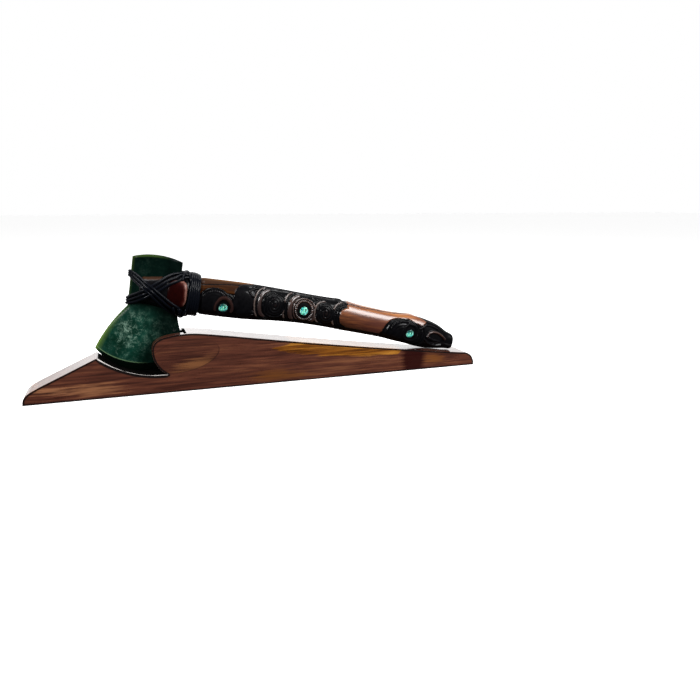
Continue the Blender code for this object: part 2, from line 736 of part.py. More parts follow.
def band_spine(route, hump, hump_at):
    """Centre line of a crossing band as (place, outward, sideways) triples.

    The band leaves the binding on the far side, rounds the blade's front edge and comes back
    to the binding on the near side. It is drawn tight over what lies under it.
    """
    standoff = CORD / 2 + GAP + BAND_LIFT
    ring_spacing = RING_STEP_SHARE * CORD
    length = sum(math.dist(a, b) for a, b in zip(route, route[1:]))
    steps = 80
    profile = []
    for step in range(steps + 1):
        share = step / steps
        u, v = route_point(route, share)
        raised = hump if abs(share - hump_at) * length < ring_spacing else 0.0
        profile.append((share * length, head_half_thickness(u, v) + raised))
    profile[0] = (0.0, 0.0)
    hull = tight_line(profile)

    near = []
    rise = math.atan2(hull[1][1] - hull[0][1], hull[1][0] - hull[0][0])
    front_steps = 3
    for step in range(front_steps + 1):
        angle = math.pi - (math.pi / 2 - rise) * step / front_steps
        outward = Vector((math.cos(angle), -math.sin(angle), 0.0))
        place = Vector((route[0][0], 0.0, route[0][1])) + outward * standoff
        near.append((place, outward, Vector((0.0, 0.0, 1.0))))
    for index in range(1, len(hull)):
        distance, height = hull[index]
        before, after = hull[index - 1], hull[min(index + 1, len(hull) - 1)]
        tilt = math.atan2(after[1] - before[1], after[0] - before[0])
        share = distance / length
        u, v = route_point(route, share)
        ahead = route_point(route, min(share + LOOK_SHARE, 1.0))
        behind = route_point(route, share - LOOK_SHARE)
        heading = Vector((ahead[0] - behind[0], 0.0, ahead[1] - behind[1])).normalized()
        outward = (haft_facing(u, v) * math.cos(tilt) - heading * math.sin(tilt)).normalized()
        along = heading * math.cos(tilt) - Vector((0.0, math.sin(tilt), 0.0))
        sideways = outward.cross(along).normalized()
        place = Vector((u, -height, v)) + outward * standoff
        if (place - near[-1][0]).length > ring_spacing or index == len(hull) - 1:
            near.append((place, outward, sideways))
    far = [tuple(Vector((p.x, -p.y, p.z)) for p in entry) for entry in reversed(near[1:])]
    return far + near


def band_section():
    """Outline of strands lying side by side: (across, out) pairs, the inner side flat."""
    half = CORD / 2
    outline = []
    for strand in range(STRANDS):
        middle = (strand - (STRANDS - 1) / 2) * CORD * STRAND_SPREAD
        outline += [(middle - half * RIB_WIDTH_SHARE, half * RIB_FOOT_SHARE), (middle, half)]
    edge = outline[-1][0] + half * RIB_WIDTH_SHARE
    back = -half * BAND_BACK_SHARE
    return outline + [(edge, half * RIB_FOOT_SHARE), (edge, back), (-edge, back)]


def make_band(name, route, hump, hump_at, frame):
    rings = []
    for place, outward, sideways in band_spine(route, hump, hump_at):
        rings.append([place + sideways * a + outward * b for a, b in band_section()])
    return make_cutter(name, skin(rings), frame)


def make_binding(frame):
    """Turns of cord round the neck, as one ribbed collar."""
    start = HAFT_FRONT + BINDING_START_SHARE * HAFT_LENGTH
    stop = HAFT_FRONT + BINDING_END_SHARE * HAFT_LENGTH
    turns = round((stop - start) / CORD)
    pitch = (stop - start) / turns
    half = CORD / 2
    profile = []
    for turn in range(turns):
        u = start + (turn + 0.5) * pitch
        profile += [(u - pitch / 2 * RIB_WIDTH_SHARE, half + half * RIB_FOOT_SHARE), (u, CORD)]
    inset = pitch / 2 * (1 - RIB_WIDTH_SHARE)
    profile += [(stop - inset, half + half * RIB_FOOT_SHARE), (stop - inset, 0.0), (start + inset, 0.0)]
    sections = [haft_section(start + (stop - start) * i / 20) for i in range(21)]
    middle, half_height, _ = max(sections, key=lambda section: section[1])
    half_thickness = max(section[2] for section in sections)
    rings = []
    for side in range(AROUND):
        turn = 2 * math.pi * side / AROUND
        place, facing = rounded_section(turn, half_height, half_thickness)
        rise = BINDING_RISE * max(math.sin(turn), 0.0) ** RISE_POWER
        lifts = [(u, GAP + lift + (rise if lift else 0.0)) for u, lift in profile]
        rings.append([Vector((u, 0.0, middle)) + place + facing * lift for u, lift in lifts])
    return make_object("lashing", skin(rings, closed_loop=True), BLACK_CORD, frame)


def make_lashing(frame):
    """Binding and both crossing bands, joined into the one cord that they are."""
    lashing = make_binding(frame)
    neck = HAFT_FRONT + BINDING_START_SHARE * HAFT_LENGTH
    crossing = tuple(share * HAFT_HEIGHT for share in CROSSING)
    bands = (("falling_band", FALLING_START, FALLING_TURNS, CORD),
             ("rising_band", RISING_START, RISING_TURNS, 0.0))
    for name, height, turns, hump in bands:
        route = [(-WAIST_WIDTH / 2, height), crossing]
        for before_neck, share in turns:
            u = neck - before_neck * HAFT_HEIGHT
            middle, half_height, _ = haft_section(u)
            route.append((u, middle + share * half_height))
        length = sum(math.dist(a, b) for a, b in zip(route, route[1:]))
        band = make_band(name, route, hump, math.dist(route[0], crossing) / length, frame)
        add_boolean(lashing, band, "UNION")
    return lashing


def make_haft_frame():
    """The empty that carries blade, haft and cord, leaning as they do on the stand."""
    lean = haft_lean()
    along, up = to_stand_plane(0.0, 0.0, lean)
    frame = bpy.data.objects.new("haft_frame", None)
    bpy.context.collection.objects.link(frame)
    frame.location = (stand_x(along), 0.0, up)
    frame.rotation_euler = (0.0, lean, 0.0)
    return frame


def main():
    clear_scene()
    make_stand()
    frame = make_haft_frame()
    make_blade(frame)
    blade_space = make_cutter("blade_space", skin(blade_rings(GAP)), frame)
    haft = make_haft(frame, blade_space)
    make_eyes(frame, haft)
    make_lashing(frame)


main()
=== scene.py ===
# %% [markdown]
# # A hafted greenstone blade on its stand
# A ground stone blade stands on its curved edge in a long wooden stand. A carved haft grips it,
# black cord binds the two, and shell discs make the eyes of the carving.
# The solids of the frame give every size and place. Each piece below is a finer mesh of the same
# form, made from the same few named sizes, so that close views show rounded edges and cut wood.

# %% Load the frame
import json
import math

import bmesh
import bpy
import numpy as np
from mathutils import Matrix, Vector

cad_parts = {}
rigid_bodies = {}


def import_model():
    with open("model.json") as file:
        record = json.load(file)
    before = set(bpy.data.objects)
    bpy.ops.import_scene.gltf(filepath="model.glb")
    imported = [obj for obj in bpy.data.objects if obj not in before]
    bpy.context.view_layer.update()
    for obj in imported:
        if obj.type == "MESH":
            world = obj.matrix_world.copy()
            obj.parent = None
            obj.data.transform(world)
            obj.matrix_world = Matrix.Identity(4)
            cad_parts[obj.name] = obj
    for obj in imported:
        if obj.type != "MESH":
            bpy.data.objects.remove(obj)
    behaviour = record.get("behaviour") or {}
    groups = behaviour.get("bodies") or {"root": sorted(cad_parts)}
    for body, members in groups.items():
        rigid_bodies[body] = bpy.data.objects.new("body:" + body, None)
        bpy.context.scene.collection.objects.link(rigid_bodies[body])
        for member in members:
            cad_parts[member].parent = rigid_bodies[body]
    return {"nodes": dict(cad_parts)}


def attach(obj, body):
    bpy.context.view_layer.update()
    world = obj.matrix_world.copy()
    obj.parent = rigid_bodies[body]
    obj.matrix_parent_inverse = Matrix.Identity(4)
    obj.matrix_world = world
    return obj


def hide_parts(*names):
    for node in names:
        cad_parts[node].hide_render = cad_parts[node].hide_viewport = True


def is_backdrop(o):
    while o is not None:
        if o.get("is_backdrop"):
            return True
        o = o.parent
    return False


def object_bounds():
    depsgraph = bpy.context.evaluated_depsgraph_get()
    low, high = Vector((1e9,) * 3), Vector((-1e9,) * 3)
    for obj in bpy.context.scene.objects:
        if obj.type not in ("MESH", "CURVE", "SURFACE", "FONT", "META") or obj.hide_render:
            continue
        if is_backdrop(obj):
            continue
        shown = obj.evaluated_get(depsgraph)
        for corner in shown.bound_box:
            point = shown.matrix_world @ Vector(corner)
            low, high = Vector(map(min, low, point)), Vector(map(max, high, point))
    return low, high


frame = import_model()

CAD_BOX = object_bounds()
mm = 0.001
print("solids:", sorted(frame["nodes"]))
print("box in mm:", [[round(x / mm, 1) for x in corner] for corner in CAD_BOX])

# %% [markdown]
# ## The camera
# The object was seen from a little above, from the left of its middle, with a wide lens close by.
# It could be placed by eye, but its place and turn were found by laying the solids' outline
# over the picture's.
# The other views move the camera, so it has no depth of field and no shift.

# %% The camera
IMAGE_WIDTH = 700
FOCAL_LENGTH_IN_PIXELS = 640
SENSOR = 36.0

lens = bpy.data.cameras.new("camera")
lens.sensor_width = SENSOR
lens.lens = SENSOR * FOCAL_LENGTH_IN_PIXELS / IMAGE_WIDTH
lens.clip_start = 0.01
camera = bpy.data.objects.new("camera", lens)
camera.location = (-0.138, -0.631, 0.176)
camera.rotation_euler = (math.radians(77.23), 0.0, math.radians(-19.67))
bpy.context.scene.collection.objects.link(camera)
bpy.context.scene.camera = camera
bpy.context.scene.view_settings.view_transform = "Standard"
print("lens in mm:", round(lens.lens, 2))

# %% [markdown]
# ## Shader nodes in few words
# A procedural material is a small tree of nodes. Made by hand in Python, each node takes three or
# four lines, so two short helpers make a node and feed it in one call. Most of the others name the
# one output that a node is used for, so that a finish reads as a list of what is laid over what.
# A socket knows its own tree, so only the nodes that start a finish have to be told it.

# %% Make and feed a node
def feed(socket, value):
    """Puts a value on a socket, or links another node's output to it."""
    if isinstance(value, bpy.types.NodeSocket):
        socket.id_data.links.new(value, socket)
    else:
        socket.default_value = value


def node(tree, kind, inputs=None, **settings):
    """Adds a node, makes its settings and feeds its inputs, which are named or numbered."""
    made = tree.nodes.new("ShaderNode" + kind)
    for name, value in settings.items():
        setattr(made, name, value)
    for name, value in (inputs or {}).items():
        feed(made.inputs[name], value)
    return made


def new_material(name, **shader_values):
    """A material whose Principled shader has the given plain values on its own sockets."""
    material = bpy.data.materials.new(name)
    material.use_nodes = True
    tree = material.node_tree
    shader = tree.nodes["Principled BSDF"]
    for label, value in shader_values.items():
        shader.inputs[label.replace("_", " ")].default_value = value
    return material, tree, shader.inputs


def dress(shader, **sockets):
    """Feeds the shader's sockets, by their names with _ for a space."""
    for label, value in sockets.items():
        feed(shader[label.replace("_", " ")], value)


def tree_of(*values):
    """The tree of the first socket among the values."""
    return next(value.id_data for value in values if isinstance(value, bpy.types.NodeSocket))


print("nodes can be made and fed")

# %% Places on a piece
def place_on_piece(tree):
    """The place on the piece itself, in metres."""
    return node(tree, "TexCoord").outputs["Object"]


def axes_of(vector):
    return node(vector.id_data, "SeparateXYZ", {"Vector": vector}).outputs


def value_of(tree, name):
    """Reads a number that a mesh keeps for each vertex."""
    return node(tree, "Attribute", attribute_name=name).outputs["Fac"]


print("a finish can read places and numbers")

# %% Sums
def maths(operation, *values):
    made = node(tree_of(*values), "Math", dict(enumerate(values)), operation=operation)
    return made.outputs[0]


def times(first, *others):
    for other in others:
        first = maths("MULTIPLY", first, other)
    return first


def plus(first, second):
    return maths("ADD", first, second)


def minus(first, second):
    return maths("SUBTRACT", first, second)


def greater(first, *others):
    for other in others:
        first = maths("MAXIMUM", first, other)
    return first


def scaled(value, factor, shift):
    return maths("MULTIPLY_ADD", value, factor, shift)


def stretched(value, low, high, to_low=0.0, to_high=1.0):
    """Carries the range from low to high over to another one, and holds still beyond it."""
    made = node(value.id_data, "MapRange", {"Value": value, "From Min": low, "From Max": high,
                                            "To Min": to_low, "To Max": to_high})
    return made.outputs["Result"]


print("a sum takes one call for each step")

# %% Noise, colours and bumps
def noise(place, scale, detail=3.0, roughness=0.6, distortion=0.0):
    made = node(place.id_data, "TexNoise", {"Vector": place, "Scale": scale, "Detail": detail,
                                            "Roughness": roughness, "Distortion": distortion})
    return made.outputs["Fac"]


def ramp(value, *stops):
    """A colour ramp from (position, colour) stops; a colour may be one grey number."""
    made = node(value.id_data, "ValToRGB", {"Fac": value})
    elements = made.color_ramp.elements
    while len(elements) < len(stops):
        elements.new(0.5)
    for element, (position, colour) in zip(elements, stops):
        element.position = position
        grey = isinstance(colour, (int, float))
        element.color = (colour, colour, colour, 1.0) if grey else (*colour, 1.0)
    return made.outputs["Color"]


def blend(share, first, second, mode="MIX"):
    made = node(tree_of(share, first, second), "Mix", data_type="RGBA", blend_type=mode)
    feed(made.inputs[0], share)
    for number, value in ((6, first), (7, second)):
        feed(made.inputs[number], (*value, 1.0) if isinstance(value, tuple) else value)
    return made.outputs[2]


def shaded(colour, shade):
    """Darkens a colour by a shade, as a glaze does."""
    return blend(1.0, colour, shade, "MULTIPLY")


def bump(height, distance, strength):
    settings = {"Height": height, "Distance": distance, "Strength": strength}
    return node(height.id_data, "Bump", settings).outputs["Normal"]


print("a blend can be MIX or MULTIPLY")

# %% [markdown]
# ## Node groups
# An effect that several finishes share, such as grain, is a node group: a small tree of its own
# with named sockets, which each material places with its own values. It is built once, so a
# change to it reaches every finish.

# %% Make and place a group
def effect_group(name, inputs, outputs):
    """An empty node group: inputs are (name, kind, value), outputs (name, kind)."""
    group = bpy.data.node_groups.new(name, "ShaderNodeTree")
    for label, kind, value in inputs:
        kind = "NodeSocket" + kind
        group.interface.new_socket(label, in_out="INPUT", socket_type=kind).default_value = value
    for label, kind in outputs:
        group.interface.new_socket(label, in_out="OUTPUT", socket_type="NodeSocket" + kind)
    given = group.nodes.new("NodeGroupInput").outputs
    return group, given, group.nodes.new("NodeGroupOutput").inputs


def use_group(tree, group, inputs):
    made = tree.nodes.new("ShaderNodeGroup")
    made.node_tree = group
    for name, value in inputs.items():
        feed(made.inputs[name], value)
    return made.outputs


print("groups so far:", len(bpy.data.node_groups))

# %% [markdown]
# ## A bright room
# The picture was taken against white, brighter behind the object than in front of it. That is what
# turns the level tops of the polished stand white, while its upright face stays dark and warm.
# A picture of a sky could do this too. Here the direction alone does it: the sky is bright towards
# +Y, dim on the camera's side and dimmer near the horizon, and the camera itself sees it white.

# %% The sky
SKY_BEHIND = 2.1
SKY_FRONT = 0.012
HORIZON_SHARE = 0.35
GROWS_BRIGHT = (0.05, 0.75)
HORIZON_HAZE = (0.0, 0.26)

world = bpy.data.worlds.new("bright_room")
bpy.context.scene.world = world
world.use_nodes = True
sky = world.node_tree
sky.nodes.clear()
direction = axes_of(node(sky, "TexCoord").outputs["Generated"])
lit = stretched(direction["Y"], *GROWS_BRIGHT, SKY_FRONT, SKY_BEHIND)
raised = stretched(direction["Z"], *HORIZON_HAZE, HORIZON_SHARE, 1.0)
seen = node(sky, "LightPath").outputs["Is Camera Ray"]
strength = node(sky, "Mix", {0: seen, 2: times(lit, raised), 3: 1.0}).outputs[0]
glow = node(sky, "Background", {"Color": (1.0, 1.0, 1.0, 1.0), "Strength": strength})
node(sky, "OutputWorld", {"Surface": glow.outputs["Background"]})
print("sky behind", SKY_BEHIND, "and in front", SKY_FRONT)

# %% [markdown]
# ## The table
# The object stood on a white lit table. The camera sees the floor as such a table, but the gloss of
# the pieces sees a floor that grows darker towards the front, or they would look frosted.
# The Light Path node tells the two kinds of ray apart.

# %% The table
bpy.ops.mesh.primitive_plane_add(size=24.0, location=(0.0, 0.0, -0.2 * mm))
floor = bpy.context.object
floor.name = "floor"
floor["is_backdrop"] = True
table, tree, _ = new_material("pale_table")
tree.nodes.clear()
white = node(tree, "BsdfDiffuse", {"Color": (0.86, 0.86, 0.86, 1.0)}).outputs[0]
glowing = node(tree, "Emission", {"Color": (1.0, 1.0, 1.0, 1.0), "Strength": 0.5}).outputs[0]
lightbox = node(tree, "AddShader", {0: white, 1: glowing}).outputs[0]
depth = axes_of(place_on_piece(tree))["Y"]
shade = ramp(scaled(depth, 2.0, 0.5), (0.45, 0.02), (0.70, 0.80))
mirrored = node(tree, "BsdfDiffuse", {"Color": shade}).outputs[0]
seen = node(tree, "LightPath").outputs["Is Camera Ray"]
top = node(tree, "MixShader", {0: seen, 1: mirrored, 2: lightbox}).outputs[0]
node(tree, "OutputMaterial", {"Surface": top})
floor.data.materials.append(table)
print("table:", len(tree.nodes), "nodes")

# %% [markdown]
# ## Lamps
# Three soft square lamps do the rest: a weak one overhead, and one on each side of the camera,
# which bring out the carving and the round of the haft.

# %% The lamps
def soft_light(name, place, target, size, power):
    """A square lamp that faces a point."""
    lamp = bpy.data.lights.new(name, "AREA")
    lamp.size = size
    lamp.energy = power
    holder = bpy.data.objects.new(name, lamp)
    holder.location = place
    facing = Vector(target) - Vector(place)
    holder.rotation_euler = facing.to_track_quat("-Z", "Y").to_euler()
    bpy.context.scene.collection.objects.link(holder)


soft_light("lamp_overhead", (-0.12, 0.05, 1.10), (-0.05, 0.0, 0.05), 0.40, 8.0)
soft_light("lamp_left", (-1.20, -0.90, 0.85), (-0.05, 0.0, 0.05), 0.40, 26.0)
soft_light("lamp_right", (0.84, -0.85, 0.73), (0.08, 0.0, 0.06), 0.65, 26.0)
print("lamps:", len(bpy.data.lights))

# %% [markdown]
# ## Wood grain
# The stand and the haft are the same kind of wood: red-brown, with amber streaks that run with the
# grain, fine dark pores and a thin clear finish. Stretched noise gives the streaks: the place is
# squeezed along the grain before the noise reads it, so that its spots grow long.
# One group makes the grain for both pieces, each with its own colours.

# %% The group for grain
BLACK = (0, 0, 0, 1)
grain_group, given, out = effect_group(
    "wood_grain",
    [("Place", "Vector", (0, 0, 0)), ("Length", "Float", 14.0), ("Width", "Float", 110.0),
     ("Dark", "Color", BLACK), ("Middle", "Color", BLACK), ("Light", "Color", BLACK)],
    [("Color", "Color"), ("Figure", "Float"), ("Streaks", "Float"), ("Pores", "Float")])
tree = grain_group
stretch = node(tree, "CombineXYZ", {0: given["Length"], 1: given["Width"], 2: given["Width"]})
squeezed = node(tree, "VectorMath", {0: given["Place"], 1: stretch.outputs[0]},
                operation="MULTIPLY").outputs[0]
broad = noise(squeezed, 0.55, 2.0, 0.5, 0.6)
fine = noise(squeezed, 2.6, 4.0, 0.6, 0.3)
lines = noise(squeezed, 6.0, 3.0, 0.7)
hair = noise(squeezed, 13.0, 2.0)
figure = plus(times(broad, 0.40), times(fine, 0.60))
streaks = plus(times(fine, 0.4), times(lines, 0.6))
streaks = ramp(streaks, (0.34, 0.0), (0.66, 1.0))
pores = ramp(hair, (0.28, 1.0), (0.40, 0.0))
colour = blend(ramp(figure, (0.38, 0.0), (0.52, 1.0)), given["Dark"], given["Middle"])
colour = blend(ramp(figure, (0.52, 0.0), (0.66, 1.0)), colour, given["Light"])
colour = shaded(colour, ramp(streaks, (0.15, 0.60), (0.50, 0.88), (0.85, 1.0)))
colour = blend(times(pores, 0.35), colour, (0.012, 0.004, 0.003))
for label, value in (("Color", colour), ("Figure", figure), ("Streaks", streaks), ("Pores", pores)):
    feed(out[label], value)
print("grain:", len(tree.nodes), "nodes")

# %% [markdown]
# ## A handled surface
# Wood and stone that hands have held are not evenly glossy: broad smears of wax and fine rubs make
# the gloss come and go. One group mixes a coarse and a fine noise into a roughness between two
# given limits, and into a height for a slight bump.

# %% The group for a handled surface
handled_group, given, out = effect_group(
    "handled_surface",
    [("Place", "Vector", (0, 0, 0)), ("Smooth", "Float", 0.2), ("Worn", "Float", 0.35)],
    [("Roughness", "Float"), ("Height", "Float")])
tree = handled_group
smears = noise(given["Place"], 38.0, 4.0, 0.65)
rubs = noise(given["Place"], 420.0, 2.0, 0.5)
share = plus(times(smears, 0.8), times(rubs, 0.2))
feed(out["Roughness"], stretched(share, 0.35, 0.68, given["Smooth"], given["Worn"]))
feed(out["Height"], plus(times(smears, 0.7), rubs))


def handling(place, smooth, worn):
    return use_group(place.id_data, handled_group,
                     {"Place": place, "Smooth": smooth, "Worn": worn})


print("groups:", [group.name for group in (grain_group, handled_group)])

# %% [markdown]
# ## The stand
# It is one board, sawn to its outline, with a hollow for the blade's edge, a rounded lobe behind it
# and a slot in the lobe. It could be shaped from a box with many cuts, but an outline that is
# extruded keeps the board's faces truly flat, and a few named sizes give each of its curves.
# Places along the stand are measured from its nose, as a maker would mark them.

# %% The stand's sizes
STAND_LENGTH = 460 * mm
STAND_THICKNESS = 32 * mm
NOSE = (18.7 * mm, 17.6 * mm)
LIP_AT = 64.5 * mm
SEAT_RADIUS = 94.8 * mm
SEAT_CENTRE_AT = 124 * mm
SEAT_FLOOR = 17.5 * mm
SEAT_AXIS_UP = SEAT_FLOOR + SEAT_RADIUS
LOBE_FRONT = (114.1 * mm, 41.2 * mm)
LOBE_TOP = (150 * mm, 56.3 * mm)
UNDERCUT = (23.9 * mm, 26 * mm)
SHOULDER_ROUNDING = 12 * mm
TOP_HOLLOW = 2 * mm
TAIL_HEIGHT = 15 * mm
TAIL_RADIUS = 13 * mm
TAIL_START = STAND_LENGTH - TAIL_RADIUS
GAP = 0.3 * mm
print("stand:", round(STAND_LENGTH / mm), "mm long and", round(STAND_THICKNESS / mm), "mm thick")

# %% The curves of its outline
def conic(start, corner, end, steps, fullness=math.sqrt(0.5)):
    """A curve that leaves start towards corner and comes into end from it, by itself round."""
    points = []
    for step in range(steps + 1):
        t = step / steps
        weights = (1 - t) ** 2, 2 * t * (1 - t) * fullness, t ** 2
        points.append(tuple(sum(w * p for w, p in zip(weights, axis)) / sum(weights)
                            for axis in zip(start, corner, end)))
    return points


def seat_height(along):
    return SEAT_AXIS_UP - math.sqrt(SEAT_RADIUS ** 2 - (along - SEAT_CENTRE_AT) ** 2)


def stand_top(along):
    """Height of the long top, which bends off the lobe and is slightly hollow."""
    run = TAIL_START - LOBE_TOP[0]
    x = along - LOBE_TOP[0]
    fall = (LOBE_TOP[1] - TAIL_HEIGHT) / (math.hypot(run, SHOULDER_ROUNDING) - SHOULDER_ROUNDING)
    drop = fall * (math.hypot(x, SHOULDER_ROUNDING) - SHOULDER_ROUNDING)
    return LOBE_TOP[1] - drop - TOP_HOLLOW * 4 * (x / run) * (1 - x / run)


print("the lip stands", round(seat_height(LIP_AT) / mm, 1), "mm high")

# %% The whole outline
def stand_outline():
    """Nose, seat, undercut, lobe, long top and tail, as (x, height) from the stand's middle."""
    slope = (seat_height(LIP_AT) - NOSE[1]) / (LIP_AT - NOSE[0])
    nose = conic((0.0, 0.0), (0.0, NOSE[1] - slope * NOSE[0]), NOSE, 16, 1.8)
    under = (LOBE_FRONT[0], LOBE_FRONT[1] - UNDERCUT[1])
    curve = conic(LOBE_FRONT, under, (LOBE_FRONT[0] + UNDERCUT[0], under[1]), 60)
    undercut = [point for point in curve if point[1] > seat_height(point[0])]
    lobe = conic(LOBE_FRONT, (LOBE_FRONT[0], LOBE_TOP[1]), LOBE_TOP, 28, 1.2)
    seat = [(along, seat_height(along)) for along in np.linspace(LIP_AT, undercut[-1][0], 48)]
    back = [(along, stand_top(along)) for along in np.linspace(LOBE_TOP[0], TAIL_START, 60)[1:-1]]
    tail_end = (STAND_LENGTH, TAIL_HEIGHT - TAIL_RADIUS)
    tail = conic((TAIL_START, TAIL_HEIGHT), (STAND_LENGTH, TAIL_HEIGHT), tail_end, 16)
    outline = nose + seat + undercut[-2::-1] + lobe[1:] + back + tail + [(STAND_LENGTH, 0.0)]
    return [(along - STAND_LENGTH / 2, height) for along, height in outline]


print("outline points:", len(stand_outline()))

# %% [markdown]
# ## Cutting the board
# The outline becomes one face, and the face is extruded through the board's thickness.
# A Bevel then eases the edges, and the eased edges catch a thin line of light. Its result is kept
# as a plain mesh, so that the steps that follow see real vertices.

# %% A board from an outline
def new_object(name, mesh):
    made = bpy.data.objects.new(name, mesh)
    bpy.context.scene.collection.objects.link(made)
    return made


def board(name, outline, thickness):
    """A board of the given side outline, centred on Y = 0."""
    shape = bmesh.new()
    face = shape.faces.new([shape.verts.new((x, -thickness / 2, z)) for x, z in outline])
    grown = bmesh.ops.extrude_face_region(shape, geom=[face])["geom"]
    moved = [item for item in grown if isinstance(item, bmesh.types.BMVert)]
    bmesh.ops.translate(shape, verts=moved, vec=(0, thickness, 0))
    bmesh.ops.recalc_face_normals(shape, faces=shape.faces)
    mesh = bpy.data.meshes.new(name)
    shape.to_mesh(mesh)
    shape.free()
    return new_object(name, mesh)


def apply_modifiers(piece):
    """Keeps the evaluated mesh and drops the modifiers."""
    evaluated = piece.evaluated_get(bpy.context.evaluated_depsgraph_get())
    mesh = bpy.data.meshes.new_from_object(evaluated)
    piece.modifiers.clear()
    piece.data = mesh


stand = board("stand_board", stand_outline(), STAND_THICKNESS)
easing = stand.modifiers.new("eased_edges", "BEVEL")
easing.width = 0.7 * mm
easing.segments = 3
easing.limit_method = "ANGLE"
easing.angle_limit = math.radians(40)
apply_modifiers(stand)
print("board with eased edges:", len(stand.data.polygons), "faces")

# %% [markdown]
# ## A painted dark rim
# A dark line of painted shade runs along the edges of the board's two sides, where the eased edges
# and the bottom edge fall into shade.
# Stain and finish gather along the edges of the board's two sides and leave a dark line there.
# The sides are inset by the line's width, and each vertex keeps a number: 1 on the outer edge and
# 0 inside it. The finish reads that number, so the line follows every bend of the outline.

# %% Mark the rim
SHADED_RIM_WIDTH = 2.0 * mm
SMALLEST_SIDE = 1000 * mm * mm


# Painted shade: the rim marked here carries a painted dark line.
def mark_shaded_rim(piece, width):
    """Insets the two side faces and marks their outer rim."""
    shape = bmesh.new()
    shape.from_mesh(piece.data)
    rim = shape.verts.layers.float.new("rim")
    sides = [face for face in shape.faces
             if abs(face.normal.y) > 0.99 and face.calc_area() > SMALLEST_SIDE]
    for mark in (1.0, 0.0):
        for face in sides:
            for corner in face.verts:
                corner[rim] = mark
        if mark:
            bmesh.ops.inset_individual(shape, faces=sides, thickness=width)
    shape.to_mesh(piece.data)
    shape.free()
    return len(sides)


print("side faces with a dark rim:", mark_shaded_rim(stand, SHADED_RIM_WIDTH))

# %% [markdown]
# ## The stand's finish
# The grain runs along the board. An image could be laid on the side, but then close views show its
# pixels, so the figure is painted with nodes in the board's own side view. Two helpers do this.
# An ellipse gives a distance, and a noise from the grain makes its rim ragged. A bent line gives a
# height that follows the streaks of this board.

# %% Helpers for the side view
def ellipse(place, centre, half_length, half_height, tilt):
    """Distance from an ellipse's centre in the side view, 1 at its rim; all in millimetres."""
    mapped = node(place.id_data, "Mapping", {
        "Vector": place, "Location": (centre[0] * mm, 0.0, centre[1] * mm),
        "Rotation": (0.0, math.radians(-tilt), 0.0),
        "Scale": (half_length * mm, 1000.0, half_height * mm)}, vector_type="TEXTURE")
    length = node(place.id_data, "VectorMath", {0: mapped.outputs[0]}, operation="LENGTH")
    return length.outputs["Value"]


def along_line(value, start, stop, top, heights):
    """A height that follows a bent line, with its corners at even steps; all in millimetres."""
    at = stretched(value, start * mm, stop * mm)
    corners = [(i / (len(heights) - 1), height / top) for i, height in enumerate(heights)]
    return times(ramp(at, *corners), top * mm)


def ragged(distance, streaky, broken, reach):
    """Makes the rim of a distance ragged along the grain, by a reach and by fine breaks."""
    return scaled(broken, -0.9, scaled(streaky, -reach, distance))


print("places are in millimetres from the stand's middle")

# %% [markdown]
# ## Grain and sapwood
# Below the top edge behind the lobe runs an amber streak of sapwood. It lies over a bent line and
# under a second one, the cap, and the grain's own figure moves both lines up and down.

# %% Grain and sapwood
stand_wood, tree, shader = new_material(
    "oiled_board", Coat_Roughness=0.06, Coat_IOR=1.5, Specular_IOR_Level=0.25)
place = place_on_piece(tree)
side_view = axes_of(place)
grain = use_group(tree, grain_group, {
    "Place": place, "Length": 7.0, "Width": 170.0, "Dark": (0.044, 0.0125, 0.0082, 1),
    "Middle": (0.094, 0.0285, 0.0165, 1), "Light": (0.175, 0.065, 0.030, 1)})
streaky = minus(grain["Figure"], 0.5)
broken = minus(grain["Streaks"], 0.5)

SAP_LINE = (36.5, 29, 26.4, 24, 22, 21.2, 21, 20, 34)
CAP_LINE = (35, 40, 52)
LINE_TOP = 60
WANDER = 14 * mm
sap_line = along_line(side_view["X"], -4, 156, LINE_TOP, SAP_LINE)
cap_line = along_line(side_view["X"], -4, 36, LINE_TOP, CAP_LINE)
over_sap = scaled(streaky, WANDER, minus(side_view["Z"], sap_line))
over_cap = scaled(streaky, WANDER, minus(side_view["Z"], cap_line))
in_sapwood = times(stretched(over_sap, -0.4 * mm, 0.5 * mm),
                   stretched(over_cap, -0.6 * mm, 0.6 * mm, 1.0, 0.0))
sapwood = ramp(grain["Figure"], (0.36, (0.090, 0.024, 0.004)),
               (0.50, (0.19, 0.062, 0.0055)), (0.64, (0.40, 0.17, 0.024)))
sapwood = shaded(sapwood, ramp(grain["Streaks"], (0.1, 0.45), (0.6, 1.0)))
colour = blend(in_sapwood, grain["Color"], sapwood)
print("grain and sapwood:", len(tree.nodes), "nodes")

# %% [markdown]
# ## Light streaks and a dark patch
# Four light streaks run along the board: two on the sloped nose, one under the middle and one at
# the tail. In front of the last, a dark patch reaches over nearly the board's whole height.

# %% Light streaks and a dark patch
# Middle (x and height), half length, half height, tilt in degrees and colour of each streak
LIGHT_STREAKS = (
    ((-203, 11.0), 30, 4.5, -3, (0.27, 0.115, 0.054)),
    ((-170, 9.5), 30, 7.0, -3, (0.25, 0.105, 0.048)),
    ((3, 7.5), 34, 8.0, -4, (0.115, 0.038, 0.008)),
    ((180, 12), 20, 8, -5, (0.150, 0.050, 0.011)))
for middle, half_length, half_height, tilt, light in LIGHT_STREAKS:
    streak = ellipse(place, middle, half_length, half_height, tilt)
    in_streak = ramp(ragged(streak, streaky, broken, 2.4), (0.20, 0.85), (0.95, 0.0))
    colour = blend(in_streak, colour, light)
dark_patch = ellipse(place, (155, 13), 17, 24, 0.0)
in_dark_patch = ramp(scaled(streaky, 0.8, dark_patch), (0.60, 0.95), (1.0, 0.0))
colour = blend(in_dark_patch, colour, (0.016, 0.0008, 0.0006))
print("light streaks:", len(LIGHT_STREAKS))

# %% [markdown]
# ## The figure on the lobe
# On the lobe the grain draws a rounded figure, darker inside, with a glow at its lower end and a
# thin dark line round its lower rim. It is one tilted ellipse, read three times.

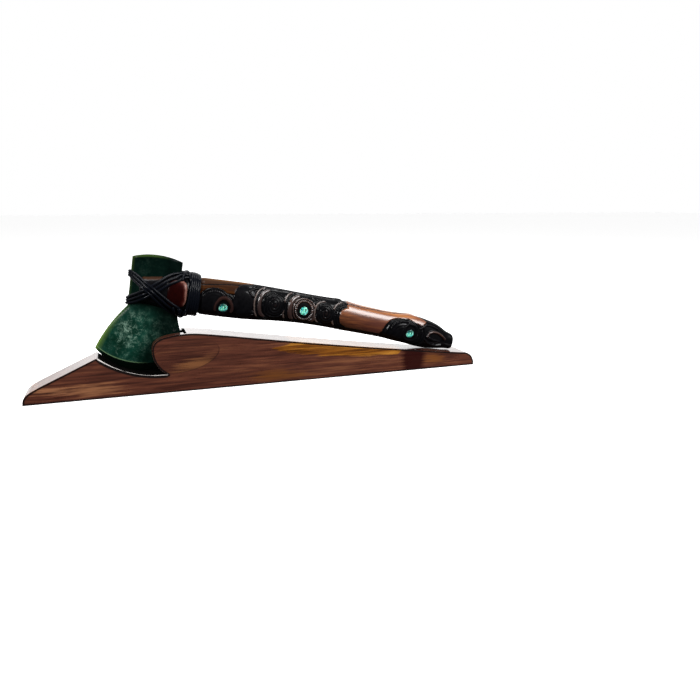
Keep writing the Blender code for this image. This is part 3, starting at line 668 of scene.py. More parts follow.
# %% The figure on the lobe
lobe = ellipse(place, (-86, 35), 33.5, 15.6, 10.0)
low_glow = ellipse(place, (-76, 26.5), 27, 7.5, 9.0)
inside = ramp(lobe, (0.985, 1.0), (1.0, 0.0))
in_glow = ramp(ragged(low_glow, streaky, broken, 2.0), (0.25, 0.85), (1.0, 0.0))
colour = blend(times(in_glow, inside), colour, (0.215, 0.086, 0.032))
colour = blend(times(inside, 0.22), colour, (0.020, 0.006, 0.004))
low_side = ramp(times(side_view["Z"], 20.0), (0.70, 1.0), (0.95, 0.0))
rim_low = ramp(lobe, (0.955, 0.0), (0.985, 1.0), (1.0, 1.0), (1.0, 0.0))
rim_low = times(rim_low, low_side)
colour = blend(times(rim_low, 0.85), colour, (0.014, 0.004, 0.003))
print("with the lobe's figure:", len(tree.nodes), "nodes")

# %% [markdown]
# ## Dark lines, gloss and pores
# Dark lines of painted shade follow the seat's edge and the rim. The seat was sawn to an arc, so
# its line is measured as a distance from that arc's axis, and it fades out before the lip and the
# lobe.
# The clear finish is duller on the nose than behind it, and the pores are sunk a little.

# %% Dark lines, gloss and pores
# Black for the haft's stain, and for shade painted on both pieces.
BLACK_STAIN_AND_SHADE = (0.004, 0.002, 0.002)
flat_place = node(tree, "CombineXYZ", {0: side_view["X"], 2: side_view["Z"]}).outputs[0]
seat_axis = (SEAT_CENTRE_AT - STAND_LENGTH / 2, 0.0, SEAT_AXIS_UP)
from_axis = node(tree, "VectorMath", {0: flat_place, 1: seat_axis},
                 operation="DISTANCE").outputs["Value"]
from_seat = maths("ABSOLUTE", minus(from_axis, SEAT_RADIUS))
shade_below_seat = stretched(from_seat, 2.2 * mm, 2.9 * mm, 0.97, 0.0)
along_seat = ramp(scaled(side_view["X"], 10.0, 1.8),
                  (0.14, 0.0), (0.18, 1.0), (0.75, 1.0), (0.79, 0.0))
# Painted shade: a dark line on the face just below the seat's edge.
colour = blend(times(shade_below_seat, along_seat), colour, BLACK_STAIN_AND_SHADE)
# Painted shade: a dark line along the rim of the board's sides.
on_shaded_rim = ramp(value_of(tree, "rim"), (0.15, 0.0), (0.40, 0.97))
colour = blend(on_shaded_rim, colour, BLACK_STAIN_AND_SHADE)

streaked_gloss = ramp(grain["Streaks"], (0.1, 0.78), (0.6, 1.0))
duller_nose = ramp(scaled(side_view["X"], 10.0, 2.4),
                   (0.12, 0.40), (0.40, 0.70), (0.70, 1.0))
handled = handling(place, 0.24, 0.36)
sunk = plus(times(grain["Pores"], 0.5), rim_low)
relief = minus(times(handled["Height"], 0.35), sunk)
dress(shader, Base_Color=colour, Coat_Weight=times(streaked_gloss, duller_nose),
      Roughness=handled["Roughness"], Normal=bump(relief, 0.05 * mm, 0.6))
print("stand's finish:", len(tree.nodes), "nodes")

# %% [markdown]
# ## The seat's painted shade
# The seat and the slot are painted a dull black, as painted shade and the blade's dark reflection
# in the seat. Along the seat's edges a pale line is painted as the highlight of the eased edge,
# wider on the near side than on the far one. A second material is the simplest way to a sharp
# border between black and brown. A bent line gives the pale line its changing width.

# %% The seat's painted shade
HIGHLIGHT_REACH = 56
HIGHLIGHT_WIDTHS = (6, 5, 3.4, 2.2, 1.6, 0.2, 1.1, 1.2, 1.2, 0.8, 1.0, 2.4, 3.0)
WIDEST = 12
# Painted highlight: the pale line along the seat's eased edges.
PAINTED_EDGE_HIGHLIGHT = (0.50, 0.47, 0.45)
seat_painted_shade, tree, shader = new_material("seat_painted_shade", Specular_IOR_Level=0.0)
place = place_on_piece(tree)
side_view = axes_of(place)
uneven = noise(place, 180.0)
# Painted shade: the seat's black stands for shade and the blade's dark reflection.
painted_shade_black = ramp(uneven, (0.3, (0.0012, 0.0012, 0.0012)), (0.7, (0.0035, 0.0030, 0.0028)))
lip_x = (LIP_AT - STAND_LENGTH / 2) / mm
# The worn width here is the width of the painted highlight along the seat's edges.
worn = along_line(side_view["X"], lip_x, lip_x + HIGHLIGHT_REACH, WIDEST, HIGHLIGHT_WIDTHS)
worn = times(worn, stretched(side_view["Y"], -1 * mm, 1 * mm, 1.0, 0.3))
from_edge = minus(STAND_THICKNESS / 2, maths("ABSOLUTE", side_view["Y"]))
on_painted_highlight = stretched(minus(worn, from_edge), -0.3 * mm, 0.3 * mm)
dress(shader, Base_Color=blend(on_painted_highlight, painted_shade_black, PAINTED_EDGE_HIGHLIGHT),
      Roughness=ramp(uneven, (0.3, 0.55), (0.7, 0.75)),
      Normal=bump(uneven, 0.04 * mm, 0.5))
stand.data.materials.clear()
for finish in (stand_wood, seat_painted_shade):
    stand.data.materials.append(finish)
print("seat's stain:", len(tree.nodes), "nodes")

# %% [markdown]
# ## The haft's own frame
# Blade, haft and cord were made straight and then leaned back as one, until the haft's end met the
# stand. So all three are built in the haft's frame: u runs along the haft from the blade's middle,
# v rises across it and y goes through it. One matrix then leans them.

# %% Sizes of blade and haft
BLADE_LENGTH = 111.6 * mm
POLL_STANDS = 33.5 * mm
POLL_DOME = 3.8 * mm
POLL_WIDTH = 45.6 * mm
WAIST_WIDTH = 46.3 * mm
WAIST_BELOW = {-1: 16.5 * mm, 1: 22.5 * mm}
EDGE_RADIUS = 54.9 * mm
EDGE_WIDTH = 82 * mm
EDGE_FORWARD = 7 * mm
SEAT_LEAN = math.radians(20)
HAFT_LENGTH = 340.5 * mm
HAFT_HEIGHT = 36 * mm
HAFT_THICKNESS = 29 * mm
HAFT_FRONT = 8.5 * mm - WAIST_WIDTH / 2
HEAD_ROUNDING = 4.5 * mm
SECTION_POWER = 2.3
HEIGHT_INSET = 0.7
print("haft:", round(HAFT_LENGTH / mm, 1), "mm long, blade:", round(BLADE_LENGTH / mm, 1))

# %% [markdown]
# ## The haft's form
# The real haft is one billet, bent down towards its end, thick at the neck and thin behind it.
# Its middle, height and thickness were measured at some places, and a smooth curve through them
# gives all others. A section is a rounded oblong: a circle whose sine and cosine are raised to a
# power below 1.

# %% The haft's form
# Share of length, rise of the middle / height, height / height, thickness / thickness
HAFT_FORM = np.array((
    (0.000, 0.010, 0.68, 0.97), (0.061, 0.000, 0.87, 0.98), (0.107, 0.008, 1.00, 1.00),
    (0.126, 0.010, 1.00, 0.99), (0.136, 0.003, 0.925, 0.90), (0.161, 0.003, 0.925, 0.90),
    (0.173, 0.000, 0.985, 0.99), (0.296, -0.006, 1.00, 1.00), (0.390, -0.004, 0.92, 0.93),
    (0.466, -0.022, 0.865, 0.87), (0.545, -0.054, 0.865, 0.87), (0.595, -0.080, 0.895, 0.90),
    (0.647, -0.137, 0.846, 0.85), (0.735, -0.211, 0.822, 0.85), (0.788, -0.255, 0.872, 0.88),
    (0.824, -0.268, 0.922, 0.91), (0.861, -0.313, 0.942, 0.89), (0.898, -0.363, 0.903, 0.84),
    (0.937, -0.413, 0.774, 0.72), (0.971, -0.482, 0.576, 0.58), (1.000, -0.545, 0.460, 0.50)))


def smooth_curve(column, share):
    """Reads a column of the form's table along a smooth curve, for many shares at once."""
    shares, values = HAFT_FORM[:, 0], HAFT_FORM[:, column]
    slopes = np.gradient(values, shares)
    slopes[1:-1] = (values[2:] - values[:-2]) / (shares[2:] - shares[:-2])
    place = np.clip(np.searchsorted(shares, share) - 1, 0, len(shares) - 2)
    span = shares[place + 1] - shares[place]
    t = (share - shares[place]) / span
    rise = values[place + 1] - values[place]
    curve = rise * (3 * t ** 2 - 2 * t ** 3)
    bend = slopes[place] * t * (1 - t) ** 2 - slopes[place + 1] * t ** 2 * (1 - t)
    return values[place] + curve + span * bend


def haft_section(u):
    """Middle height, half height and half thickness of the haft at u."""
    share = (u - HAFT_FRONT) / HAFT_LENGTH
    from_end = np.minimum(u - HAFT_FRONT, HAFT_FRONT + HAFT_LENGTH - u)
    short = np.clip(HEAD_ROUNDING - np.clip(from_end, 0.0, None), 0.0, None)
    inset = HEAD_ROUNDING - np.sqrt(HEAD_ROUNDING ** 2 - short ** 2)
    middle = smooth_curve(1, share) * HAFT_HEIGHT
    half_height = smooth_curve(2, share) * HAFT_HEIGHT / 2 - inset * HEIGHT_INSET
    half_thickness = smooth_curve(3, share) * HAFT_THICKNESS / 2 - inset
    return middle, half_height, half_thickness


print("the form is measured at", len(HAFT_FORM), "places")

# %% Points on the haft's skin
def signed_power(value, power):
    return np.sign(value) * np.abs(value) ** power


def haft_point(u, turn, lift=0.0):
    """Points on the haft's skin, last axis (u, y, v); turn is 0 at the near side, then up."""
    middle, half_height, half_thickness = haft_section(u)
    across = signed_power(np.cos(turn), 2 / SECTION_POWER)
    upward = signed_power(np.sin(turn), 2 / SECTION_POWER)
    facing_y = -signed_power(across, SECTION_POWER - 1) / half_thickness
    facing_v = signed_power(upward, SECTION_POWER - 1) / half_height
    size = np.hypot(facing_y, facing_v)
    y = -across * half_thickness + lift * facing_y / size
    v = middle + upward * half_height + lift * facing_v / size
    return np.stack(np.broadcast_arrays(u, y, v), axis=-1)


print("top of the neck:", (haft_point(40 * mm, math.pi / 2) / mm).round(1))

# %% [markdown]
# ## How far the haft leans
# The blade's edge is an arc that rolls in the seat, so any lean is possible until the haft's end
# touches the stand. That lean could be worked out on paper, but halving a range forty times is
# shorter and follows every later change of size.

# %% The lean and the haft's frame
RESTING_PART = np.linspace(0.5, 0.999, 120)
MOST_LEAN = math.radians(25)
HALVINGS = 40


def edge_centre():
    """Centre of the cutting edge's curve, along the stand and up."""
    reach = SEAT_RADIUS - EDGE_RADIUS - GAP
    return (SEAT_CENTRE_AT - reach * math.sin(SEAT_LEAN),
            SEAT_AXIS_UP - reach * math.cos(SEAT_LEAN))


def to_stand_plane(u, v, lean):
    """Carries a place in the haft's frame to one along the stand and up."""
    along, up = edge_centre()
    du, dv = u + EDGE_FORWARD, v + BLADE_LENGTH - POLL_STANDS - EDGE_RADIUS
    return (along + math.cos(lean) * du + math.sin(lean) * dv,
            up - math.sin(lean) * du + math.cos(lean) * dv)


def haft_lean():
    """The lean that rests the underside of the haft's end on the stand's top."""
    low, high = 0.0, MOST_LEAN
    u = HAFT_FRONT + HAFT_LENGTH * RESTING_PART
    middle, half_height, _ = haft_section(u)
    for _ in range(HALVINGS):
        lean = (low + high) / 2
        along, up = to_stand_plane(u, middle - half_height, lean)
        over = along < TAIL_START
        clear = min(z - stand_top(s) for s, z in zip(along[over], up[over])) - GAP
        low, high = (lean, high) if clear > 0 else (low, lean)
    return lean


LEAN = haft_lean()
origin = to_stand_plane(0.0, 0.0, LEAN)
HAFT_FRAME = (Matrix.Translation((origin[0] - STAND_LENGTH / 2, 0.0, origin[1]))
              @ Matrix.Rotation(LEAN, 4, "Y"))
print("lean in degrees:", round(math.degrees(LEAN), 3))

# %% [markdown]
# ## Skins from rings
# Blade, haft and cord are all closed skins: rows of points round a section, one row after another.
# Extruding and scaling them loop by loop would take hours. Worked out as arrays, a hundred
# thousand points take a moment, and the faces follow from counting.

# %% A skin over rings of points
def skin(name, rings, matrix):
    """A closed mesh over an array of rings, shaped (rings, points round, 3)."""
    count, around = rings.shape[:2]
    index = np.arange(count * around).reshape(count, around)
    next_round = np.roll(index, -1, axis=1)
    quads = np.stack((index[:-1], next_round[:-1], next_round[1:], index[1:]), axis=-1)
    faces = quads.reshape(-1, 4).tolist()
    faces += [index[0, ::-1].tolist(), index[-1].tolist()]
    mesh = bpy.data.meshes.new(name)
    mesh.from_pydata(rings.reshape(-1, 3).tolist(), [], faces)
    mesh.validate()
    mesh.shade_smooth()
    piece = new_object(name, mesh)
    piece.matrix_world = matrix
    return piece


def face_outward(piece):
    """Turns all faces outward, whichever way the rings ran."""
    shape = bmesh.new()
    shape.from_mesh(piece.data)
    bmesh.ops.recalc_face_normals(shape, faces=shape.faces)
    shape.to_mesh(piece.data)
    shape.free()


print("skins are made from arrays of points")

# %% [markdown]
# ## Numbers on the mesh
# A finish often needs to know where it is on the piece, such as how near to the blade's edge.
# The mesh keeps such numbers for its vertices, as an attribute, and the finish reads them. Two
# finishes on one piece are given out face by face, from the mean of such a number.

# %% Numbers and finishes on a mesh
def add_value(piece, name, values):
    """Keeps one number for each vertex, for the finish to read."""
    attribute = piece.data.attributes.new(name, "FLOAT", "POINT")
    attribute.data.foreach_set("value", np.asarray(values, np.float32).ravel())


def all_of(items, label, kind):
    """One number of each item, as an array."""
    numbers = np.zeros(len(items), kind)
    items.foreach_get(label, numbers)
    return numbers


def face_means(piece, name):
    """Mean over each face's corners of a value kept for the vertices."""
    mesh = piece.data
    values = all_of(mesh.attributes[name].data, "value", np.float32)
    corners = all_of(mesh.loops, "vertex_index", np.int32)
    starts = all_of(mesh.polygons, "loop_start", np.int32)
    counts = all_of(mesh.polygons, "loop_total", np.int32)
    return np.add.reduceat(values[corners], starts) / counts


def paint_faces(piece, numbers):
    """Gives each face the piece's material of its number, and counts those of number 1."""
    piece.data.polygons.foreach_set("material_index", np.asarray(numbers, np.int32))
    return int(np.sum(np.asarray(numbers) == 1))


print("numbers can be kept on a mesh and read back")

# %% [markdown]
# ## The greenstone blade
# The blade was ground from one flat stone: it swells to its full thickness below the haft, flares
# to a curved edge and ends in a narrow bevel. A subdivided block would round all of that off. So
# its sections are worked out as lenses with thin sides, close together at the bevel and at the
# upper end, and both keep a crisp arris.

# %% The blade's sizes
BLADE_THICKNESS = 12 * mm
POLL_THICKNESS = 9.6 * mm
POLL_ARRIS = 1.6 * mm
SHOULDER_THICKNESS = 7.9 * mm
EDGE_THICKNESS = 0.9 * mm
BEVEL_WIDTH = 7.5 * mm
BEVEL_SHARE = BEVEL_WIDTH / (BLADE_LENGTH - POLL_DOME)
FRONT_FLARE_SHARE = 0.42
FRONT_BEVEL_SHARE = 0.35
BEVEL_FADING_POWER = 4
BEVEL_ROUNDING_POWER = 0.8
FULL_THICKNESS_AT = 0.55
THINNING_FROM = 0.6
ARRIS_FROM = 0.98
EDGE_BELOW = BLADE_LENGTH - POLL_STANDS - EDGE_RADIUS
TOP_V = POLL_STANDS - POLL_DOME


def edge_sag(x):
    """How far the edge's arc hangs below its corners, x from -1 at the front to 1."""
    half = EDGE_WIDTH / 2
    return np.sqrt(EDGE_RADIUS ** 2 - (x * half) ** 2) - math.sqrt(EDGE_RADIUS ** 2 - half ** 2)


CORNER_V = -EDGE_BELOW - EDGE_RADIUS + edge_sag(0.0)
print("the edge hangs", round(edge_sag(0.0) / mm, 1), "mm below its corners")

# %% The blade's side and thickness
def blade_side(v, side):
    """Distance of the blade's side from u = 0; side is -1 at the front and 1 at the rear."""
    waist_v = -WAIST_BELOW[side]
    above = np.clip((v - waist_v) / (TOP_V - waist_v), 0.0, 1.0)
    below = np.clip((waist_v - v) / (waist_v - CORNER_V), 0.0, 1.0)
    spring = FRONT_FLARE_SHARE if side < 0 else 0.0
    reach = (EDGE_WIDTH - WAIST_WIDTH) / 2 - side * EDGE_FORWARD
    width = WAIST_WIDTH + (POLL_WIDTH - WAIST_WIDTH) * above
    return width / 2 + reach * below * (1 + spring * (1 - below))


def bevel_level(share, x):
    """Where a row of the bevel lies: the bevel narrows towards the front corner."""
    fading = 1 - ((1 - x) / 2) ** BEVEL_FADING_POWER
    fading = FRONT_BEVEL_SHARE + (1 - FRONT_BEVEL_SHARE) * fading
    bevel = BEVEL_SHARE * fading
    body = bevel + (share - BEVEL_SHARE) * (1 - bevel) / (1 - BEVEL_SHARE)
    return np.where(share < BEVEL_SHARE, share * fading, body)


def blade_thickness(share):
    """Thickness in the blade's middle, at a share of its length from the edge up."""
    on_shaded_bevel = np.clip(share / BEVEL_SHARE, 0.0, 1.0) ** BEVEL_ROUNDING_POWER
    body = np.clip((share - BEVEL_SHARE) / (1 - BEVEL_SHARE), 0.0, 1.0)
    swell = np.sin(np.clip(body / FULL_THICKNESS_AT, 0.0, 1.0) * np.pi / 2)
    thinning = np.clip((body - THINNING_FROM) / (1 - THINNING_FROM), 0.0, None) ** 2
    rounding = np.clip((share - ARRIS_FROM) / (1 - ARRIS_FROM), 0.0, None) ** 2
    return (EDGE_THICKNESS + (SHOULDER_THICKNESS - EDGE_THICKNESS) * on_shaded_bevel
            + (BLADE_THICKNESS - SHOULDER_THICKNESS) * swell
            - (BLADE_THICKNESS - POLL_THICKNESS) * thinning - POLL_ARRIS * rounding)


def lens_section(x):
    """Share of the blade's thickness between its thin sides, x from -1 to 1."""
    return np.clip(1 - np.abs(x) ** 3, 0.0, None) ** 0.6


print("thickest:", round(float(blade_thickness(np.linspace(0, 1, 99)).max() / mm), 2), "mm")

# %% [markdown]
# ## The blade's skin
# Each row runs from the front side to the rear and back again on the far face. Its points crowd
# towards the thin sides, as a cosine does, because the section bends most there.
# The lean is put into the mesh itself, so that the piece's box stays as small as the leaned stone.

# %% The blade's mesh
ACROSS = 72
x_across = -np.cos(np.pi * np.arange(ACROSS + 1) / ACROSS)


def blade_rings(shares):
    share, x = shares[:, None], x_across[None, :]
    level = bevel_level(share, x)
    side_v = CORNER_V + (TOP_V - CORNER_V) * level
    front, rear = -blade_side(side_v, -1), blade_side(side_v, 1)
    u = (front + rear) / 2 + x * (rear - front) / 2
    edge_curve = edge_sag(x) * np.clip(1 - level, 0.0, None) ** 1.6
    v = side_v - edge_curve + POLL_DOME * (1 - x * x) * level ** 3
    half = np.maximum(blade_thickness(share) * lens_section(x), EDGE_THICKNESS) / 2
    near = np.stack((u, -half, v), axis=-1)
    far = np.stack((u, half, v), axis=-1)[:, ::-1]
    return np.concatenate((near, far), axis=1)


bevel_rows = BEVEL_SHARE * np.array((0.0, 0.12, 0.3, 0.55, 0.8, 0.97, 1.0, 1.03, 1.2))
body_rows = np.linspace(BEVEL_SHARE * 1.6, 0.978, 60)
poll_rows = np.array((0.982, 0.986, 0.990, 0.994, 0.997, 1.0))
blade_shares = np.concatenate((bevel_rows, body_rows, poll_rows))
blade = skin("ground_blade", blade_rings(blade_shares), Matrix.Identity(4))
face_outward(blade)
blade.data.set_sharp_from_angle(angle=math.radians(28))
x_round = np.concatenate((x_across, x_across[::-1]))
grid = (len(blade_shares), len(x_round))
add_value(blade, "across", np.broadcast_to(x_round, grid))
add_value(blade, "rise", np.broadcast_to(blade_shares[:, None], grid))
blade.data.transform(HAFT_FRAME)
print("blade:", len(blade.data.polygons), "faces")

# %% [markdown]
# ## Greenstone
# The stone is dark green and hardly lets light through, except where it is thin: its front side and
# the corner glow yellow-green. Pale clouds gather in the lower half and thin out upward, and
# towards the top the stone is painted darker as shade under the haft and cord. The ground bevel is
# polished and painted nearly black-green, as painted shade on a bevel that faces down into the
# seat, below a fine light line at its arris.
# A real subsurface shader would be slow and is lost in the export. So the glow is painted, from the
# two numbers that the mesh keeps: across the blade and up it.

# %% The body of the stone
greenstone, tree, shader = new_material(
    "greenstone", Coat_Roughness=0.10, Specular_IOR_Level=0.015)
place = node(tree, "Mapping", {
    "Vector": place_on_piece(tree), "Location": HAFT_FRAME.translation,
    "Rotation": HAFT_FRAME.to_euler()}, vector_type="TEXTURE").outputs[0]
rise = value_of(tree, "rise")
sideways = scaled(value_of(tree, "across"), 0.5, 0.5)
large = noise(place, 36.0, 5.0, 0.62, 0.8)
small = noise(place, 150.0, 6.0, 0.68, 0.4)
fleck = noise(place, 420.0, 6.0, 0.78, 1.2)
clouds = plus(times(large, 0.55), times(small, 0.45))
deep = ramp(clouds, (0.36, (0.0005, 0.0022, 0.0018)), (0.64, (0.0018, 0.0062, 0.0046)))
bright = ramp(clouds, (0.34, (0.0020, 0.015, 0.008)), (0.50, (0.004, 0.034, 0.022)),
              (0.64, (0.016, 0.080, 0.054)))
# Fewer clouds towards the top, and painted shade under the haft and cord darkens the top further.
low = ramp(rise, (0.10, 0.80), (0.28, 1.0), (0.44, 0.60), (0.55, 0.18), (1.0, 0.05))
forward = ramp(sideways, (0.0, 1.0), (0.38, 1.0), (0.56, 0.45), (0.74, 0.05))
colour = blend(times(low, forward), deep, bright)
print("stone's body:", len(tree.nodes), "nodes")

# %% [markdown]
# ## Pale flecks
# Fine pale flecks float in the flare, thickest in one cluster at the front. A fine noise makes
# them, and two ramps and an ellipse say where they may lie.

# %% Pale flecks
cluster = ellipse(place, (-23, -39), 15, 11, -35.0)
cluster = ramp(cluster, (0.15, 0.058), (1.0, 0.0))
mixed = scaled(fleck, 0.60, scaled(small, 0.40, cluster))
flecked = ramp(mixed, (0.51, 0.0), (0.56, 0.35), (0.64, 1.0))
lowered = ramp(rise, (0.10, 0.30), (0.22, 0.70), (0.36, 1.0), (0.44, 0.60), (0.50, 0.12),
               (0.60, 0.04))
centred = ramp(sideways, (0.05, 0.10), (0.17, 1.0), (0.34, 0.85), (0.56, 0.25), (0.75, 0.08),
               (1.0, 0.05))
pale = times(flecked, lowered, centred)
colour = blend(pale, colour, (0.200, 0.310, 0.240))
print("with flecks:", len(tree.nodes), "nodes")

# %% [markdown]
# ## Glowing sides, bevel and polish
# The thin front side and the upper end glow, the bevel is painted nearly black as shade, and its
# arris is a light line. These places are also duller than the broad face, so one mask thins the
# clear coat there.

# %% Glowing sides, bevel and polish
thin_side = ramp(sideways, (0.0, 1.0), (0.006, 0.8), (0.022, 0.35), (0.06, 0.0))
thin_low = ramp(rise, (0.0, 1.0), (0.20, 0.9), (0.40, 0.45), (0.60, 0.20), (1.0, 0.35))
colour = blend(times(thin_side, thin_low), colour, (0.110, 0.180, 0.030))
# Painted shade: the bevel faces down into the seat and is painted nearly black.
on_shaded_bevel = times(ramp(rise, (BEVEL_SHARE * 0.96, 1.0), (BEVEL_SHARE, 0.0)),
                 ramp(sideways, (0.02, 0.0), (0.09, 1.0)))
colour = blend(on_shaded_bevel, colour, (0.0011, 0.0028, 0.0018))
arris_line = [(BEVEL_SHARE * share, glow)
              for share, glow in ((0.97, 0.0), (1.02, 1.0), (1.12, 0.0))]
on_arris = times(ramp(rise, *arris_line),
                 ramp(sideways, (0.05, 0.75), (0.45, 0.5), (0.60, 0.0)))
colour = blend(on_arris, colour, (0.17, 0.27, 0.13))
poll_top = ramp(rise, (0.978, 0.0), (0.990, 1.0))
poll_glow = times(poll_top, ramp(sideways, (0.45, 0.55), (0.75, 0.0)))
colour = blend(poll_glow, colour, (0.040, 0.072, 0.016))
front_side = ramp(sideways, (0.05, 0.85), (0.18, 0.0))
dull = greater(poll_top, times(on_shaded_bevel, 0.85), front_side)
handled = handling(place, 0.20, 0.38)
relief = plus(handled["Height"], clouds)
dress(shader, Base_Color=colour, Coat_Weight=scaled(dull, -0.11, 0.12),
      Roughness=handled["Roughness"], Normal=bump(relief, 0.05 * mm, 0.5))
blade.data.materials.append(greenstone)
print("greenstone:", len(tree.nodes), "nodes")

# %% [markdown]
# ## The carving
# The haft's sides are carved with curved forms: discs, crescent ridges, spirals and notched rings
# round the shell eyes. On the real haft they stand 1 to 2 mm above the cut ground.
# Cutting them one by one with Booleans would take hours, and a bump map has no edge in profile. So
# the side is unrolled to a flat map, u along and w round it, and each form adds its height there.
# Both are in millimetres. The near and the far side share the map.

# %% Soft steps and rounded ridges
def soft_step(value, width=0.5):
    """Rises from 0 to 1 as the value passes 0, over the given width."""
    t = np.clip(value / width + 0.5, 0.0, 1.0)
    return t * t * (3 - 2 * t)


def rounded(offset, half_width):
    """Cross-section of a rounded ridge, 1 on its line and 0 at its foot."""
    return np.sqrt(np.clip(1 - (offset / half_width) ** 2, 0.0, 1.0))


def away_from(u, w, centre):
    return np.hypot(u - centre[0], w - centre[1])


print("height of a ridge half way to its foot:", round(float(rounded(0.5, 1.0)), 2))

# %% Angles, notches and bent lines
SOFT_DEGREES = 6.0


def angle_of(u, w, centre):
    """Degrees round a centre: 0 towards the tail, 90 towards the top of the haft."""
    return np.degrees(np.arctan2(w - centre[1], u - centre[0]))


def within_angles(angle, start, stop):
    middle, half = (start + stop) / 2, (stop - start) / 2
    off = np.abs((angle - middle + 180) % 360 - 180)
    return soft_step(half - off, SOFT_DEGREES)


def notches(along, pitch, depth=0.6):
    """Small saw cuts across a ridge: a factor that dips once in each pitch."""
    if not pitch:
        return 1.0
    phase = np.abs((along / pitch) % 1.0 - 0.5) * 2
    return 1 - depth * np.clip((phase - 0.45) / 0.4, 0.0, 1.0)


def line_distance(u, w, points):
    """Distance from a bent line of (u, w) points."""
    best = np.full(np.broadcast(u, w).shape, 1e3)
    for (au, aw), (bu, bw) in zip(points, points[1:]):
        du, dw = bu - au, bw - aw
        t = np.clip(((u - au) * du + (w - aw) * dw) / (du * du + dw * dw), 0.0, 1.0)
        best = np.minimum(best, np.hypot(u - au - t * du, w - aw - t * dw))
    return best


print("a notch dips to", notches(0.0, 1.6))

# %% [markdown]
# ## The plan of the carving
# A carver first draws the forms on the wood. The tables below are that drawing: the centres that
# the ridges circle, the ridges themselves, spirals, grooves and rows of notches. All were measured
# in the picture. A table is easier to correct than a hundred separate calls.

# %% Centres and curved ridges
EYE_PLACES = ((0.2305, -0.188), (0.4696, -0.025), (0.8279, -0.098))
EYES = [((HAFT_FRONT + share * HAFT_LENGTH) / mm, height * HAFT_HEIGHT / mm)
        for share, height in EYE_PLACES]
HEAD = (54.5, -6.0)
LOBE = (93.0, 2.0)
SPIRAL = (113.85, 0.6)
CURL = (168.25, -0.65)
PLAIN = (192.0, -1.0)
TAIL_HEAD = (259.0, -11.8)

# Ridges on circles, by centre: radius, half width, height, from and to degrees, notch pitch and
# bare wood, where a share above 1 paints a pale highlight line on the ridge's crest
ARCS = (
    (HEAD, (14.9, 0.8, 1.5, 20, 235, 0, 0), (12.4, 1.3, 1.3, 38, 150, 1.7, 0),
     (9.6, 0.7, 1.2, 60, 250, 0, 0), (7.6, 0.7, 1.1, 75, 265, 0, 0)),
    (EYES[0], (8.4, 1.5, 1.7, -28, 208, 0, 1), (11.6, 0.8, 1.2, -20, 88, 1.5, 0)),
    (SPIRAL, (20.6, 0.9, 1.5, 118, 246, 0, 1.4), (15.6, 1.9, 1.6, 112, 250, 0, 1),
     (18.2, 0.8, 0.9, 118, 244, 1.6, 0), (11.6, 0.8, 1.4, -180, 180, 0, 0)),
    (EYES[1], (22.2, 1.0, 1.5, 128, 236, 0, 1.4), (19.6, 0.9, 1.0, 122, 240, 1.6, 0),
     (15.3, 2.3, 1.7, 112, 252, 0, 1), (8.6, 1.1, 1.6, -180, 180, 1.7, 1.0),
     (11.4, 0.8, 1.3, -60, 240, 0, 1.0), (14.0, 0.9, 1.3, -32, 92, 1.7, 0)),
    (CURL, (11.9, 0.9, 1.5, 95, 268, 0, 1.3), (14.4, 0.8, 1.1, 100, 262, 1.6, 0)),
    (PLAIN, (16.2, 0.9, 1.5, 112, 250, 0, 1.3), (13.6, 1.1, 1.2, 105, 256, 1.6, 0),
     (11.0, 0.7, 1.2, 100, 260, 0, 0)),
    (TAIL_HEAD, (21.2, 0.9, 1.5, 30, 182, 0, 0), (18.4, 1.4, 1.4, 50, 150, 1.9, 0),
     (15.2, 0.7, 1.2, 75, 180, 0, 0), (12.8, 0.7, 1.1, 85, 180, 0, 0)),
    (EYES[2], (8.5, 1.3, 1.6, -180, 180, 1.7, 0.25), (11.6, 0.9, 1.4, -70, 120, 0, 0),
     (14.6, 1.1, 1.2, -60, 88, 1.8, 0), (17.6, 0.9, 1.4, -58, 72, 0, 0.3)),
)
print("curved ridges:", sum(len(ridges) for _, *ridges in ARCS))

# %% Bent lines, spirals and edges
# Ridges along bent lines: half width, height, bare wood, (u, w) points
LINES = (
    (0.8, 1.9, 0.0, ((95.5, 14.8), (91.0, 12.6), (87.1, 10.1), (89.0, 7.4), (91.0, 5.2))),
    (1.2, 1.7, 0.0, ((86.6, 15.6), (90.0, 16.4))),
    (0.9, 1.5, 0.0, ((90.4, -8.3), (92.6, -6.9), (94.4, -8.6), (93.0, -10.6), (90.6, -11.4))),
    (0.8, 1.3, 0.0, ((148.5, 14.5), (152.0, 10.6), (153.6, 6.6))),
    (0.8, 1.3, 0.0, ((152.6, 15.6), (155.6, 11.4), (156.9, 7.2))),
    (0.8, 1.3, 0.0, ((156.8, 16.4), (159.2, 12.6))),
    (1.6, 1.5, 1.0, ((154.6, -10.2), (157.4, -6.6))),
    (1.1, 2.0, 0.5, ((288.3, -2.0), (290.4, 1.0), (294.4, 2.8), (299.0, 3.2), (303.0, 2.9),
                     (308.0, 1.6), (312.5, 0.0))),
    (0.9, 1.7, 0.3, ((285.5, -4.6), (290.2, -7.8), (296.5, -9.7), (303.0, -9.0), (309.0, -6.9))),
    (1.0, 1.5, 0.0, ((291.0, -2.6), (297.0, -3.9), (305.0, -3.8))),
    (1.1, 1.6, 0.0, ((279.4, 3.0), (285.8, 8.4), (293.0, 8.6), (301.0, 7.0))),
    (0.8, 1.2, 0.0, ((283.0, 11.8), (292.0, 12.4), (301.0, 10.6), (309.0, 7.0))),
)
# Spirals: centre, outer radius, pitch of the ridge, height
SPIRALS = ((SPIRAL, 10.4, 2.7, 1.7), (CURL, 9.4, 2.8, 1.8))
